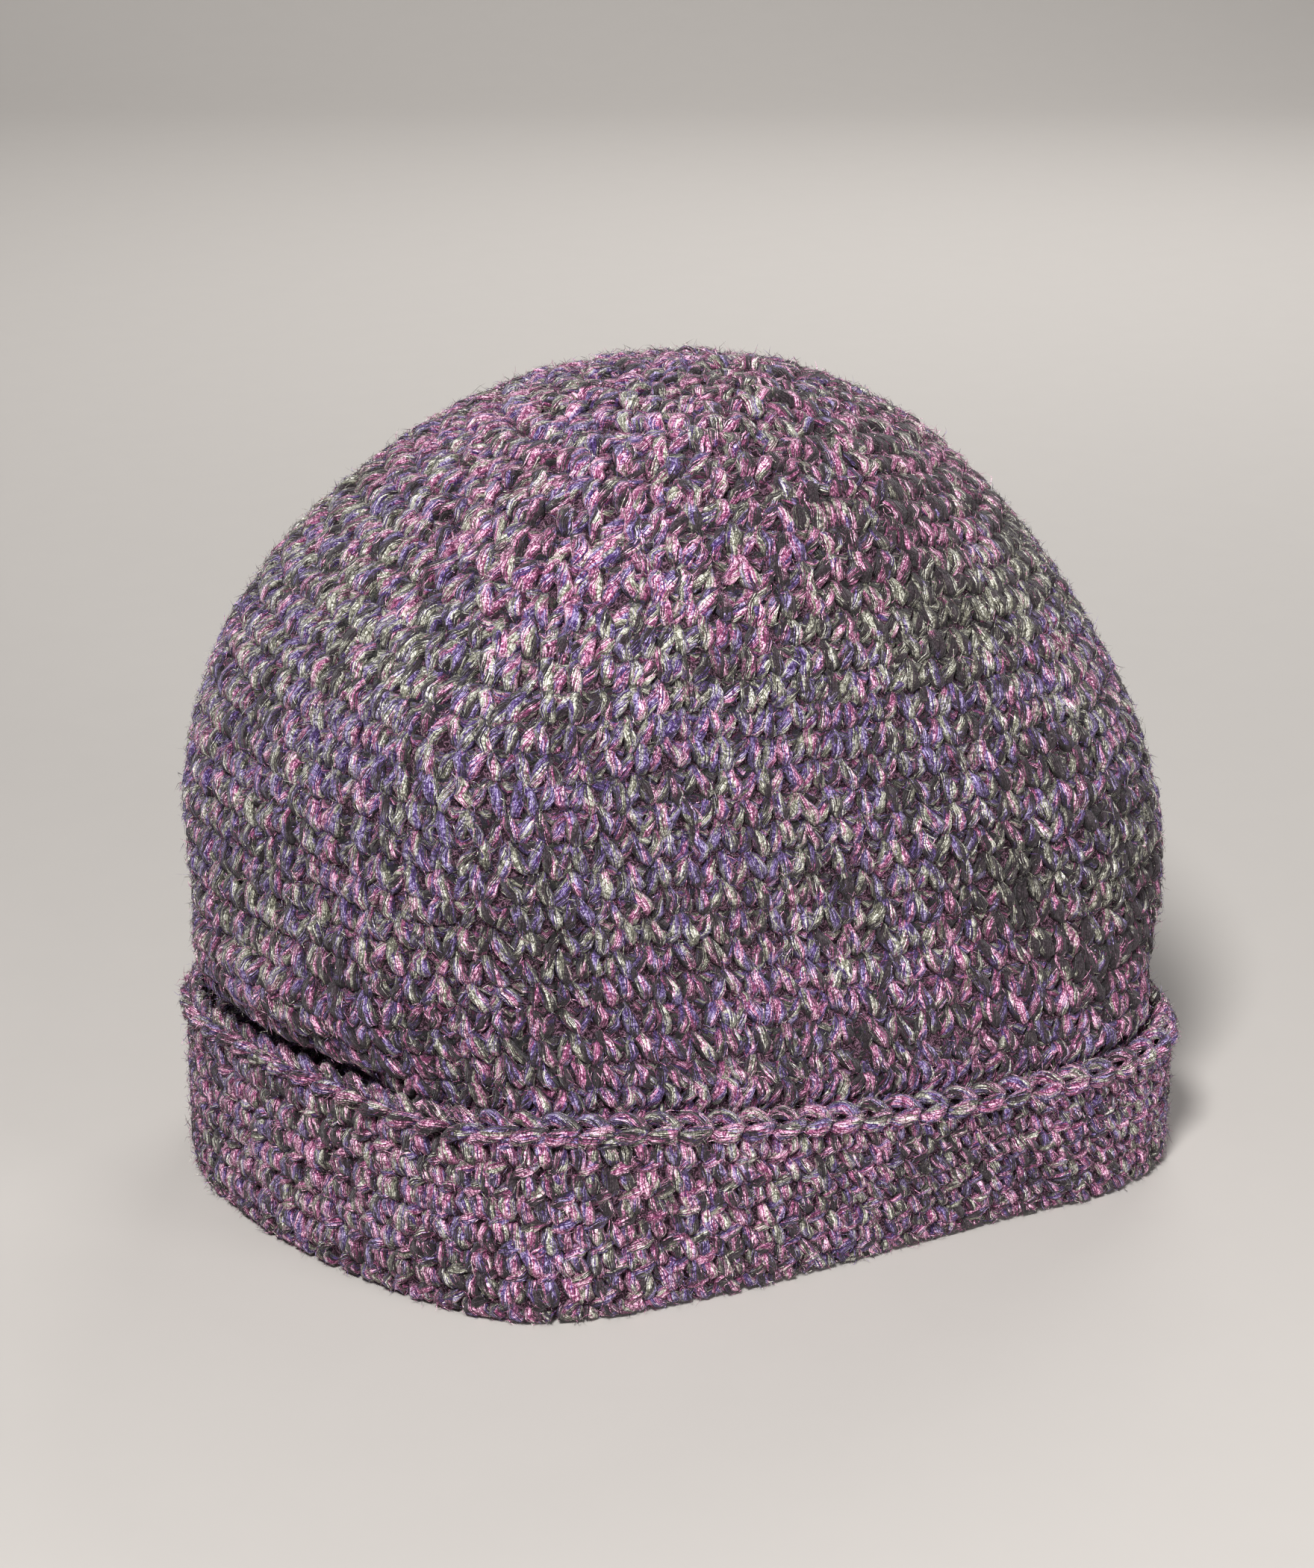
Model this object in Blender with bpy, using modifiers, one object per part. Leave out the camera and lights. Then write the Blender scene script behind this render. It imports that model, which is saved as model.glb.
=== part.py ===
"""A crocheted beanie that rests on its rim: a slouched hollow crown, a turned-up cuff with its fold at the
floor, and the chained edging along the cuff's top. Metres, +Z up, the flattened front face towards -Y."""

from collections import namedtuple
from math import pi

import bmesh
import bpy
import numpy as np

# Sizes, in metres
HAT_LENGTH = 0.200
HAT_DEPTH = 0.148
HAT_HEIGHT = 0.168
CROWN_WALL = 0.0042
CUFF_WALL = 0.0044
CUFF_HEIGHT = 0.0375
FOLD_HEIGHT = 0.0065
FOLD_ROUNDING = 0.0030
TOP_ROUNDING = 0.0012
EDGE_WIDTH = 0.0056
EDGE_HEIGHT = 0.0038
# How far above the edging the crown reaches its free shape, where it swells out and where it falls back
SWELL_OVER_EDGE = 0.011
EASE_OVER_EDGE = 0.034

# Clearances, in metres
POCKET_GAP = 0.0005
SEAT_GAP = 0.0003

# How finely the knitted forms are faceted
COLUMNS = 72
SEATED_RINGS = 3
FREE_RINGS = 21
EDGE_SIDES = 8

# The edging's top is looked for on this share of the way up the crown's cloth, in so many steps
LOWER_WAY = 0.6
SEARCH_STEPS = 60

# Outline from above. Bearings are in degrees anticlockwise from +X, and rim and belly are shares
# of the half length and half depth: one is a plain oval, and more is a corner that stands out. Cuff_height
# is a share of the cuff's height, and tuck how far the crown stands in from the cuff at the edging, as a
# share of the half length.
Outline = namedtuple("Outline", "bearing rim belly cuff_height tuck")
OUTLINE = [
    Outline(0, 0.965, 0.985, 0.82, 0.000),
    Outline(30, 0.970, 0.985, 0.84, 0.000),
    Outline(60, 0.985, 0.990, 0.86, 0.000),
    Outline(90, 1.000, 1.000, 0.90, 0.000),
    Outline(120, 1.055, 1.020, 0.90, 0.000),
    Outline(145, 1.070, 1.040, 0.90, 0.004),
    Outline(165, 1.035, 1.025, 0.93, 0.024),
    Outline(185, 0.998, 1.010, 1.00, 0.042),
    Outline(207, 1.030, 1.050, 1.01, 0.032),
    Outline(222, 1.110, 1.100, 0.99, 0.008),
    Outline(236, 1.190, 1.135, 1.03, 0.000),
    Outline(250, 1.130, 1.060, 0.94, 0.000),
    Outline(270, 1.062, 1.005, 0.78, 0.000),
    Outline(288, 1.098, 1.035, 0.70, 0.000),
    Outline(300, 1.205, 1.095, 0.70, 0.000),
    Outline(311, 1.225, 1.145, 0.72, 0.000),
    Outline(328, 1.070, 1.095, 0.76, 0.000),
    Outline(345, 0.968, 1.015, 0.80, 0.000),
]

# The crown's rounds, from the cuff's fold up to the closing round. Way is the share of the way up the
# cloth, height a share of the hat's height, length and depth shares of the half sizes, plain how far the
# outline has turned into a plain oval, lean_x and lean_y shares of the half length, and tilt in degrees.
Round = namedtuple("Round", "way height length depth plain lean_x lean_y tilt")
ROUNDS = [
    Round(0.00, 0.040, 0.985, 0.970, 0.00, 0.010, 0.000, 0.0),
    Round(0.14, 0.190, 0.985, 0.965, 0.00, 0.010, 0.000, 0.0),
    Round(0.28, 0.345, 1.000, 0.985, 0.00, 0.010, 0.000, 1.0),
    Round(0.44, 0.525, 0.965, 1.000, 0.00, -0.020, 0.000, 4.0),
    Round(0.60, 0.700, 0.840, 0.910, 0.30, -0.032, -0.040, 8.0),
    Round(0.76, 0.846, 0.592, 0.710, 0.60, 0.000, -0.105, 12.0),
    Round(0.89, 0.931, 0.305, 0.395, 1.00, 0.020, -0.205, 15.0),
    Round(1.00, 0.956, 0.000, 0.000, 1.00, 0.000, -0.290, 17.0),
]

# Dents, creases and lobes of the crown, each along a line between two places. Bearings are in degrees,
# heights shares of the hat's height, breadth and depth shares of the half length, and a lobe's depth is
# below nought.
Fold = namedtuple("Fold", "what from_bearing from_height to_bearing to_height breadth depth")
FOLDS = [
    Fold("dent in the front face", 266, 0.28, 276, 0.62, 0.42, 0.075),
    Fold("groove beside the near corner", 250, 0.50, 252, 0.78, 0.11, 0.024),
    Fold("slanting crease, outer part", 166, 0.83, 196, 0.79, 0.09, 0.020),
    Fold("slanting crease, inner part", 196, 0.79, 222, 0.74, 0.09, 0.018),
    Fold("lobe beside the closing round", 196, 0.91, 206, 0.90, 0.16, -0.018),
    Fold("lobe at the near corner", 218, 0.62, 224, 0.60, 0.20, -0.022),
    Fold("sag over the cuff's left end", 178, 0.30, 206, 0.31, 0.14, -0.030),
    Fold("pinch under the left lobe", 190, 0.47, 208, 0.46, 0.15, 0.012),
]

HALF_LENGTH = HAT_LENGTH / 2
HALF_DEPTH = HAT_DEPTH / 2


def columns_of(rows):
    """The table's rows as one array for each named column."""
    numbers = [name for name in rows[0]._fields if name != "what"]
    return {name: np.array([getattr(row, name) for row in rows], float) for name in numbers}


def smooth_curve(knots, values, places):
    """A smooth curve through the values at the knots, read at the places."""
    places = np.asarray(places, float)
    slopes = np.empty_like(values)
    slopes[1:-1] = (values[2:] - values[:-2]) / (knots[2:] - knots[:-2])
    slopes[0] = 2 * (values[1] - values[0]) / (knots[1] - knots[0]) - slopes[1]
    slopes[-1] = 2 * (values[-1] - values[-2]) / (knots[-1] - knots[-2]) - slopes[-2]
    left = np.clip(np.searchsorted(knots, places, side="right") - 1, 0, len(knots) - 2)
    span = knots[left + 1] - knots[left]
    t = (places - knots[left]) / span
    ahead = t * t * (3 - 2 * t)
    return (
        values[left] * (1 - ahead)
        + values[left + 1] * ahead
        + span * slopes[left] * t * (1 - t) ** 2
        + span * slopes[left + 1] * t * t * (t - 1)
    )


def read_outline(bearing, column):
    """The named column of the outline table at these bearings, as one closed smooth curve."""
    table = columns_of(OUTLINE)
    knots = table["bearing"]
    values = table[column]
    knots = np.concatenate([knots[-2:] - 360, knots, knots[:2] + 360])
    values = np.concatenate([values[-2:], values, values[:2]])
    return smooth_curve(knots, values, np.asarray(bearing, float) % 360)


def cuff_top(bearing):
    return read_outline(bearing, "cuff_height") * CUFF_HEIGHT


def outward(bearing):
    angle = np.radians(bearing)
    return np.stack([np.cos(angle) * HALF_LENGTH, np.sin(angle) * HALF_DEPTH], -1)


def pocket_face(bearing, upward):
    """How far in from the cuff's outer face the crown stands, from upright at its foot, 0, to fully tucked
    in at the edging's top, 1."""
    tuck = np.maximum(read_outline(bearing, "tuck"), 0) * HALF_LENGTH
    return CUFF_WALL + POCKET_GAP + tuck * upward


def cuff_point(bearing, inset, height):
    """A point of the cuff, inset from its outer face."""
    flat = outward(bearing) * read_outline(bearing, "rim")[..., None]
    reach = np.linalg.norm(flat, axis=-1, keepdims=True)
    flat = flat * (1 - np.asarray(inset)[..., None] / reach)
    height = np.broadcast_to(height, flat.shape[:-1])
    return np.concatenate([flat, height[..., None]], -1)


def free_crown(bearing, way):
    """The crown as it would stand with no cuff round it, before its dents."""
    table = columns_of(ROUNDS)
    at = {name: smooth_curve(table["way"], table[name], way) for name in table}
    swell = read_outline(bearing, "belly") * (1 - at["plain"]) + at["plain"]
    flat = outward(bearing) * swell[..., None]
    tilt = np.radians(at["tilt"])
    along = flat[..., 0] * np.maximum(at["length"], 0)
    across = flat[..., 1] * np.maximum(at["depth"], 0)
    x = along + at["lean_x"] * HALF_LENGTH
    y = across * np.cos(tilt) + at["lean_y"] * HALF_LENGTH
    z = at["height"] * HAT_HEIGHT + across * np.sin(tilt)
    return np.stack([x, y, z + 0 * x], -1)


def dent_depth(point, bearing):
    """How far the folds push this point of the crown inwards."""
    table = columns_of(FOLDS)
    reach = np.hypot(point[..., 0], point[..., 1])
    depth = np.zeros(point.shape[:-1])
    for k in range(len(FOLDS)):
        from_side = np.radians((bearing - table["from_bearing"][k] + 180) % 360 - 180) * reach
        run_side = np.radians(table["to_bearing"][k] - table["from_bearing"][k]) * reach
        from_up = point[..., 2] - table["from_height"][k] * HAT_HEIGHT
        run_up = (table["to_height"][k] - table["from_height"][k]) * HAT_HEIGHT
        share = (from_side * run_side + from_up * run_up) / (run_side**2 + run_up**2)
        share = np.clip(share, 0, 1)
        away = np.hypot(from_side - share * run_side, from_up - share * run_up)
        breadth = table["breadth"][k] * HALF_LENGTH
        depth += table["depth"][k] * HALF_LENGTH * np.exp(-((away / breadth) ** 2))
    return depth


def edging_top(bearing):
    return cuff_top(bearing) + SEAT_GAP + EDGE_HEIGHT


def crown_point(bearing, way):
    """The crown's outer face: fitted inside the cuff up to the edging's top, and free above it. It swells
    out over the edging quickly, and falls back from it slowly."""
    bearing, way = np.broadcast_arrays(np.asarray(bearing, float), np.asarray(way, float))
    point = free_crown(bearing, way)
    flat = point[..., :2]
    reach = np.maximum(np.linalg.norm(flat, axis=-1), 1e-9)
    pushed = flat * (1 - np.minimum(dent_depth(point, bearing) / reach, 1))[..., None]
    seat = cuff_point(bearing, pocket_face(bearing, 1), 0)[..., :2]
    beyond = np.linalg.norm(pushed, axis=-1) - np.linalg.norm(seat, axis=-1)
    swells = 0.5 + 0.5 * np.tanh(beyond / CROWN_WALL)
    rise = EASE_OVER_EDGE + (SWELL_OVER_EDGE - EASE_OVER_EDGE) * swells
    t = np.clip((point[..., 2] - edging_top(bearing)) / rise, 0, 1)
    free = (t * t * (3 - 2 * t))[..., None]
    return np.concatenate([seat * (1 - free) + pushed * free, point[..., 2:]], -1)


def way_at_height(bearing, height):
    """How far up the crown's cloth this height is reached, at each bearing."""
    ways = np.linspace(0, LOWER_WAY, SEARCH_STEPS + 1)
    rises = free_crown(bearing[:, None], ways[None, :])[..., 2]
    return np.array([np.interp(z, rise, ways) for z, rise in zip(height, rises)])


def cuff_section(top):
    """The cuff's cross-section as (inset, height) pairs: the fold at the floor and the wall that it turns
    up into."""
    thick = CUFF_WALL + POCKET_GAP + CROWN_WALL
    chamfer = FOLD_ROUNDING * (1 - 0.5**0.5)
    return [
        (FOLD_ROUNDING, 0 * top),
        (chamfer, chamfer + 0 * top),
        (0, FOLD_ROUNDING + 0 * top),
        (0, (FOLD_ROUNDING + top) / 2),
        (0, top - TOP_ROUNDING),
        (TOP_ROUNDING, top),
        (CUFF_WALL - TOP_ROUNDING, top),
        (CUFF_WALL, top - TOP_ROUNDING),
        (CUFF_WALL, (FOLD_HEIGHT + top) / 2),
        (CUFF_WALL, FOLD_HEIGHT + 0 * top),
        (thick, FOLD_HEIGHT + 0 * top),
        (thick, FOLD_ROUNDING + 0 * top),
        (thick - chamfer, chamfer + 0 * top),
        (thick - FOLD_ROUNDING, 0 * top),
    ]


def edge_section(top):
    """The edging's cross-section, a flattened round bead that lies along the cuff's top."""
    middle = top + SEAT_GAP + EDGE_HEIGHT / 2
    section = []
    for side in range(EDGE_SIDES):
        angle = 2 * pi * (side + 0.5) / EDGE_SIDES
        spread = EDGE_WIDTH / 2 / np.cos(pi / EDGE_SIDES)
        rise = EDGE_HEIGHT / 2 / np.cos(pi / EDGE_SIDES)
        inset = CUFF_WALL - EDGE_WIDTH / 2 - spread * np.cos(angle)
        section.append((inset, middle + rise * np.sin(angle)))
    return section


def bearings():
    """One bearing for each column of facets."""
    return np.arange(COLUMNS) * 360 / COLUMNS


def add_object(name, bm, collection, material):
    mesh = bpy.data.meshes.new(name)
    bmesh.ops.recalc_face_normals(bm, faces=bm.faces)
    bm.to_mesh(mesh)
    bm.free()
    mesh.shade_smooth()
    mesh.materials.append(material)
    obj = bpy.data.objects.new(name, mesh)
    collection.objects.link(obj)
    return obj


def loft_closed(rings):
    """A closed tube round the hat through these rings of points."""
    bm = bmesh.new()
    loops = [[bm.verts.new(point) for point in ring] for ring in rings]
    for k, loop in enumerate(loops):
        following = loops[(k + 1) % len(loops)]
        for i in range(len(loop)):
            j = (i + 1) % len(loop)
            bm.faces.new((loop[i], loop[j], following[j], following[i]))
    return bm


def crown_material():
    return yarn_material("crown yarn", (0.190, 0.130, 0.205))


def cuff_material():
    return yarn_material("cuff yarn", (0.225, 0.135, 0.210))


def edge_material():
    return yarn_material("edging yarn", (0.260, 0.160, 0.235))


def yarn_material(name, colour):
    material = bpy.data.materials.new(name)
    material.use_nodes = True
    shader = material.node_tree.nodes["Principled BSDF"]
    shader.inputs["Base Color"].default_value = (*colour, 1)
    shader.inputs["Roughness"].default_value = 0.9
    shader.inputs["Metallic"].default_value = 0
    material.diffuse_color = (*colour, 1)
    return material


def crown_rings():
    """The crown's outer face in rings of points: upright at its foot inside the cuff, then tucked in up to
    the edging's top, and free from there up to the closing round."""
    at = bearings()
    foot = FOLD_HEIGHT + SEAT_GAP
    rings = []
    for k in range(SEATED_RINGS):
        inset = pocket_face(at, max(k - 1, 0) / (SEATED_RINGS - 1))
        rings.append(cuff_point(at, inset, foot + (edging_top(at) - foot) * k / SEATED_RINGS))
    leaves = way_at_height(at, edging_top(at))
    rings += [crown_point(at, leaves + (1 - leaves) * k / FREE_RINGS) for k in range(FREE_RINGS)]
    return rings


def make_crown(collection):
    """The crown's outer face as an open dome, thickened inwards to the wall."""
    bm = bmesh.new()
    loops = [[bm.verts.new(point) for point in ring] for ring in crown_rings()]
    for lower, upper in zip(loops, loops[1:]):
        for i in range(COLUMNS):
            j = (i + 1) % COLUMNS
            bm.faces.new((lower[i], lower[j], upper[j], upper[i]))
    closing = bm.verts.new(crown_point(0, 1))
    for i in range(COLUMNS):
        bm.faces.new((loops[-1][i], loops[-1][(i + 1) % COLUMNS], closing))
    crown = add_object("crown", bm, collection, crown_material())
    wall = crown.modifiers.new("wall", "SOLIDIFY")
    wall.thickness = CROWN_WALL
    wall.offset = -1
    wall.use_even_offset = True
    return crown


def make_cuff(collection):
    at = bearings()
    section = cuff_section(cuff_top(at))
    rings = [cuff_point(at, inset + 0 * at, height) for inset, height in section]
    return add_object("cuff", loft_closed(rings), collection, cuff_material())


def make_cuff_edging(collection):
    at = bearings()
    section = edge_section(cuff_top(at))
    rings = [cuff_point(at, inset + 0 * at, height) for inset, height in section]
    return add_object("cuff_edging", loft_closed(rings), collection, edge_material())


def centre_on_floor(pieces):
    """Moves the hat so that the middle of its plan is at the origin and its fold is on the floor."""
    points = np.array([vertex.co for piece in pieces for vertex in piece.data.vertices])
    middle = (points.min(axis=0) + points.max(axis=0)) / 2
    for piece in pieces:
        for vertex in piece.data.vertices:
            vertex.co.x -= middle[0]
            vertex.co.y -= middle[1]


def clear_scene():
    for obj in list(bpy.data.objects):
        bpy.data.objects.remove(obj, do_unlink=True)


def main():
    clear_scene()
    collection = bpy.data.collections.new("beanie")
    bpy.context.scene.collection.children.link(collection)
    centre_on_floor([make_crown(collection), make_cuff(collection), make_cuff_edging(collection)])


main()
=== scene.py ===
"""The looks of a crocheted beanie: marled yarn worked stitch by stitch over the solid hat and in its hollow,
the chained edging of its cuff and its loose fibres, on a plain studio floor. Metres, +Z up."""

from collections import namedtuple
from math import pi

import bmesh
import bpy
import numpy as np
from bpy.props import FloatProperty, FloatVectorProperty, IntProperty, PointerProperty
from bpy.types import Operator, Panel, PropertyGroup
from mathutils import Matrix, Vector
from mathutils.bvhtree import BVHTree


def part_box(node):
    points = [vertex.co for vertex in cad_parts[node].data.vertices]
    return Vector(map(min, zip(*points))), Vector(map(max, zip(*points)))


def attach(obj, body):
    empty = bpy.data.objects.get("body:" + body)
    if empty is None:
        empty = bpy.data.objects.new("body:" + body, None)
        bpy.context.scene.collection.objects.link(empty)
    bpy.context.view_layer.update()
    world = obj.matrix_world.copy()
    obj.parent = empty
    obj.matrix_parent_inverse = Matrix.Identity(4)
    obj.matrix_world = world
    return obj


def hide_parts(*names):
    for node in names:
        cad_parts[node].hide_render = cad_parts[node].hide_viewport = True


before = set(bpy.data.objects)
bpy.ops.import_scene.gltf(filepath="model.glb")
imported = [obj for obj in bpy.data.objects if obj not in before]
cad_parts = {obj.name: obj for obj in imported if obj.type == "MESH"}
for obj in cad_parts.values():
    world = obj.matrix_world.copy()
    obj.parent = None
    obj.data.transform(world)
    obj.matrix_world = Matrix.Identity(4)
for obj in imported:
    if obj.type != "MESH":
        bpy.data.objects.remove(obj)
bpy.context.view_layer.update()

bl_info = {
    "name": "Crocheted beanie",
    "version": (1, 0, 0),
    "blender": (4, 5, 0),
    "location": "3D View > Sidebar > Beanie",
    "description": "Works a marled yarn over the beanie's solids, stitch by stitch",
    "category": "Object",
}

MM = 0.001

# Corners of a solid are one corner when they are closer than the first number, and a corner with more edges
# than the second is the middle of a fan
WELD = 0.01 * MM
FAN_EDGES = 24

# Rays at the hat start this far out, and those at the edging's bead this far out of the rim's face
OUT_OF_REACH = 1.0
BEAD_REACH = 20 * MM

# How far above the floor the yarn and the loose fibres stay
RESTING = 0.05 * MM
LOWEST_FIBRE = 0.2 * MM

# The matted wool under the stitches, coloured dark partly as painted shade: its least and its most depth
# under the crown's face and the cuff's, and its columns and rows. The crown's stops this share of a row short
# of the closing point.
CROWN_WOOL = (1.7 * MM, 4.1 * MM)
CUFF_WOOL = (1.5 * MM, 4.3 * MM)
WOOL_COLUMNS = 108
CROWN_WOOL_ROWS = 44
CUFF_WOOL_ROWS = 14
SHORT_OF_CLOSING = 0.05

# How finely the cloth is read round the hat, how far off the points are that give its slope and the way along
# the rim, the steps that smooth a ring, and the columns between readings of the wall's thickness
READ_COLUMNS = 720
SLOPE_TURN = 0.006
SLOPE_ROW = 0.35
NEARBY = 4
SMOOTH_STEPS = 8
WALL_STEP = 8

# The rounds are made even in height over this part of the hat, in turns from the back, which is read at so
# many turns and rows
FRONT_HALF = (0.25, 0.75)
TURN_READINGS = 61
ROW_READINGS = 200

# Where the random numbers of each kind of piece start
SEEDS = {"crown": 4, "cuff": 9, "edging": 15, "fibres": 23, "inside": 31}

# The way a yarn runs in one stitch. Across is in stitch widths and up in round heights from the stitch's
# middle, out in millimetres from where the yarn is level with the cloth's face, and thick in yarn radii.
Knot = namedtuple("Knot", "across up out thick")

# How many rings of points and how many sides the tube of one yarn has
Yarn = namedtuple("Yarn", "knots rings sides")

# Face of the crown: two legs that part downwards from under the round above, and the loop between their feet
FRONT_LEG = [
    Knot(-0.02, 0.60, -2.4, 0.55),
    Knot(0.00, 0.43, -1.0, 0.84),
    Knot(0.06, 0.19, -0.2, 1.05),
    Knot(0.15, -0.06, 0.35, 1.22),
    Knot(0.25, -0.29, 0.40, 1.28),
    Knot(0.33, -0.48, -0.15, 1.12),
    Knot(0.36, -0.61, -1.9, 0.78),
]
BACK_LEG = [
    Knot(-0.10, 0.58, -2.5, 0.55),
    Knot(-0.12, 0.40, -1.3, 0.80),
    Knot(-0.17, 0.16, -0.6, 1.00),
    Knot(-0.23, -0.08, 0.0, 1.15),
    Knot(-0.29, -0.32, 0.05, 1.20),
    Knot(-0.33, -0.51, -0.5, 1.03),
    Knot(-0.35, -0.64, -2.1, 0.74),
]
FOOT_LOOP = [
    Knot(0.18, 0.34, -2.4, 0.75),
    Knot(0.33, 0.18, -1.0, 1.00),
    Knot(0.50, 0.12, -0.5, 1.08),
    Knot(0.67, 0.20, -1.0, 1.00),
    Knot(0.82, 0.36, -2.4, 0.75),
]
CROWN_STITCH = (Yarn(FRONT_LEG, 7, 5), Yarn(BACK_LEG, 7, 5), Yarn(FOOT_LOOP, 5, 4))

# Back of the same stitch, which the turned-up cuff shows: two short stout legs under a slanting bar
LEFT_UPRIGHT = [
    Knot(-0.36, 0.34, -2.2, 0.75),
    Knot(-0.36, 0.18, -0.5, 1.05),
    Knot(-0.31, -0.04, 0.2, 1.22),
    Knot(-0.23, -0.28, 0.1, 1.22),
    Knot(-0.15, -0.48, -0.5, 1.05),
    Knot(-0.11, -0.62, -2.2, 0.75),
]
RIGHT_UPRIGHT = [
    Knot(0.02, 0.44, -2.2, 0.75),
    Knot(0.06, 0.28, -0.4, 1.05),
    Knot(0.13, 0.06, 0.25, 1.24),
    Knot(0.21, -0.18, 0.15, 1.24),
    Knot(0.28, -0.38, -0.5, 1.05),
    Knot(0.30, -0.54, -2.2, 0.75),
]
SLANTING_BAR = [
    Knot(-0.30, -0.02, -2.3, 0.70),
    Knot(-0.16, 0.16, -0.9, 1.00),
    Knot(0.02, 0.36, 0.0, 1.18),
    Knot(0.22, 0.54, 0.05, 1.18),
    Knot(0.40, 0.66, -0.8, 1.00),
    Knot(0.52, 0.72, -2.3, 0.65),
]
CUFF_STITCH = (Yarn(LEFT_UPRIGHT, 6, 5), Yarn(RIGHT_UPRIGHT, 6, 5), Yarn(SLANTING_BAR, 6, 5))

# Back of the crown's stitches, which lines the hollow: one stout bump over each
INSIDE_BUMP = [
    Knot(-0.50, -0.16, -0.4, 0.85),
    Knot(-0.24, 0.06, 1.2, 1.30),
    Knot(0.14, 0.16, 1.3, 1.34),
    Knot(0.48, -0.02, -0.4, 0.85),
]
INSIDE_STITCH = (Yarn(INSIDE_BUMP, 4, 5),)

# How much the stitches differ, as usual deviations: in stitch widths, round heights and yarn radii, and for
# proud in millimetres. Most are a little taller than their round, and they lean a little.
Differences = namedtuple("Differences", "broad aside tall lift proud stout lean wave")
DIFFER = Differences(0.07, 0.045, 0.10, 0.09, 0.16, 0.07, 0.13, 0.04)
USUAL_TALL = 1.04
USUAL_LEAN = 0.05

# Where up the hat the decreases start to pull the stitches about, over how much of it, and how much more
# they differ then
PULLED_FROM = 0.62
PULLED_OVER = 0.30
PULLED_MORE = 0.8

# Yarn is stouter where the rounds are taller than usual, by this power of their height within this range
STRETCH = (0.85, 1.35)
STRETCH_POWER = 0.7

# A round has at least this many stitches, and starts beside the one below by this deviation
FEWEST = 5
ROUND_OFFSET = 0.15

# The crown's pieces and the round above the edging that each starts at. Two rounds lie behind the cuff.
CROWN_BANDS = (("lower", -2), ("middle", 7), ("upper", 14))
TUCKED_ROUNDS = 2

# Beside the crown's: the cuff's yarn, how uneven its stitches are, and the hollow's yarn. Then how close the
# crown's stitches lie.
CUFF_YARN = 0.89
CUFF_UNEVENNESS = 0.9
INSIDE_YARN = 1.25
CLOSE_SET = 0.88

# A tube of yarn is a little flat against the cloth, its ends are blunt, and its strip keeps a margin
FLATTENED = 0.92
BLUNT_END = 0.4
STRIP_MARGIN = 0.06

# Each yarn shows another stretch of a strand this many millimetres long
YARN_LENGTH = 3000.0

# How much a millimetre out of the cloth counts for in spacing a yarn's points
OUT_COUNTS = 0.1

# One link of the edging's chain, as shares of its length along and of the bead's half width aside
Link = namedtuple("Link", "along aside rise thick")
CHAIN_LEG = [
    Link(-0.18, 0.72, -1.10, 0.65),
    Link(-0.08, 0.95, -0.30, 1.00),
    Link(0.08, 1.00, 0.25, 1.20),
    Link(0.27, 0.80, 0.42, 1.26),
    Link(0.46, 0.52, 0.35, 1.22),
    Link(0.63, 0.26, 0.05, 1.10),
    Link(0.78, 0.08, -0.50, 0.90),
    Link(0.90, 0.00, -1.20, 0.65),
]
CHAIN_BUMP = [
    Link(-0.65, 0.0, -2.00, 0.90),
    Link(-0.30, 0.0, -1.75, 1.30),
    Link(0.10, 0.0, -1.60, 1.45),
    Link(0.50, 0.0, -2.00, 0.90),
]

# The chain's two legs and the bump behind them: the side that each lies on and how stout it is. Then the
# chain's tilt out from straight up in radians, its rise, and its pitch and width beside a stitch and the
# bead, how uneven its links are, and the rings and sides of its tubes.
Strand = namedtuple("Strand", "side stout links")
CHAIN = (Strand(-1, 0.86, CHAIN_LEG), Strand(1, 0.94, CHAIN_LEG), Strand(0, 0.75, CHAIN_BUMP))
CHAIN_TILT = 0.3 * pi
CHAIN_RISE = 1.6 * MM
CHAIN_PITCH = 1.05
CHAIN_WIDTH = 0.74
CHAIN_UNEVENNESS = 0.06
CHAIN_RINGS = 10
CHAIN_SIDES = 7

# The yarn's colours don't change at the same round all round the hat: how much further on they are, as a
# share of the crown's rounds, low and high on it. They begin to drift just above the edging, and the low
# values give way to the high ones over the second part.
Drift = namedtuple("Drift", "turn low high")
COLOUR_DRIFT = [
    Drift(0.00, 0.00, 0.00),
    Drift(0.17, 0.14, 0.00),
    Drift(0.30, 0.06, 0.03),
    Drift(0.42, 0.01, 0.08),
    Drift(0.54, 0.00, 0.03),
    Drift(0.66, 0.00, -0.01),
    Drift(1.00, 0.00, 0.00),
]
DRIFT_BEGINS = 0.05
DRIFT_FROM = 0.2
DRIFT_OVER = 0.5

# The stripes are those of the rounds in the photo. With the rounds out of sight behind the top there are
# this many times as many, and the last stripe runs on over them.
UNSEEN_ROUNDS = 1.15

# How far the crown is drawn in behind the cuff's edge round the hat, in millimetres. It is drawn out where
# the number is negative, at the left, to narrow the slot there.
Tuck = namedtuple("Tuck", "turn depth")
FOLD_TUCK = [
    Tuck(0.00, 0.3),
    Tuck(0.18, 0.3),
    Tuck(0.21, 0.1),
    Tuck(0.24, -1.2),
    Tuck(0.27, -2.0),
    Tuck(0.325, -2.1),
    Tuck(0.36, 0.0),
    Tuck(0.48, 0.4),
    Tuck(1.00, 0.3),
]
TUCK_REACH = 15.0 * MM

# How far the closing point has slipped back on the crown, and a place in the hollow that sees the whole face
SLOUCH = np.array([14.0, 34.0, 0.0]) * MM
HOLLOW_MIDDLE = np.array([0.0, 0.0, 60.0]) * MM


def solid_mesh(node):
    """The solid's mesh with its corners joined up."""
    bm = bmesh.new()
    bm.from_mesh(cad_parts[node].data)
    bmesh.ops.remove_doubles(bm, verts=bm.verts, dist=WELD)
    return bm


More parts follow.
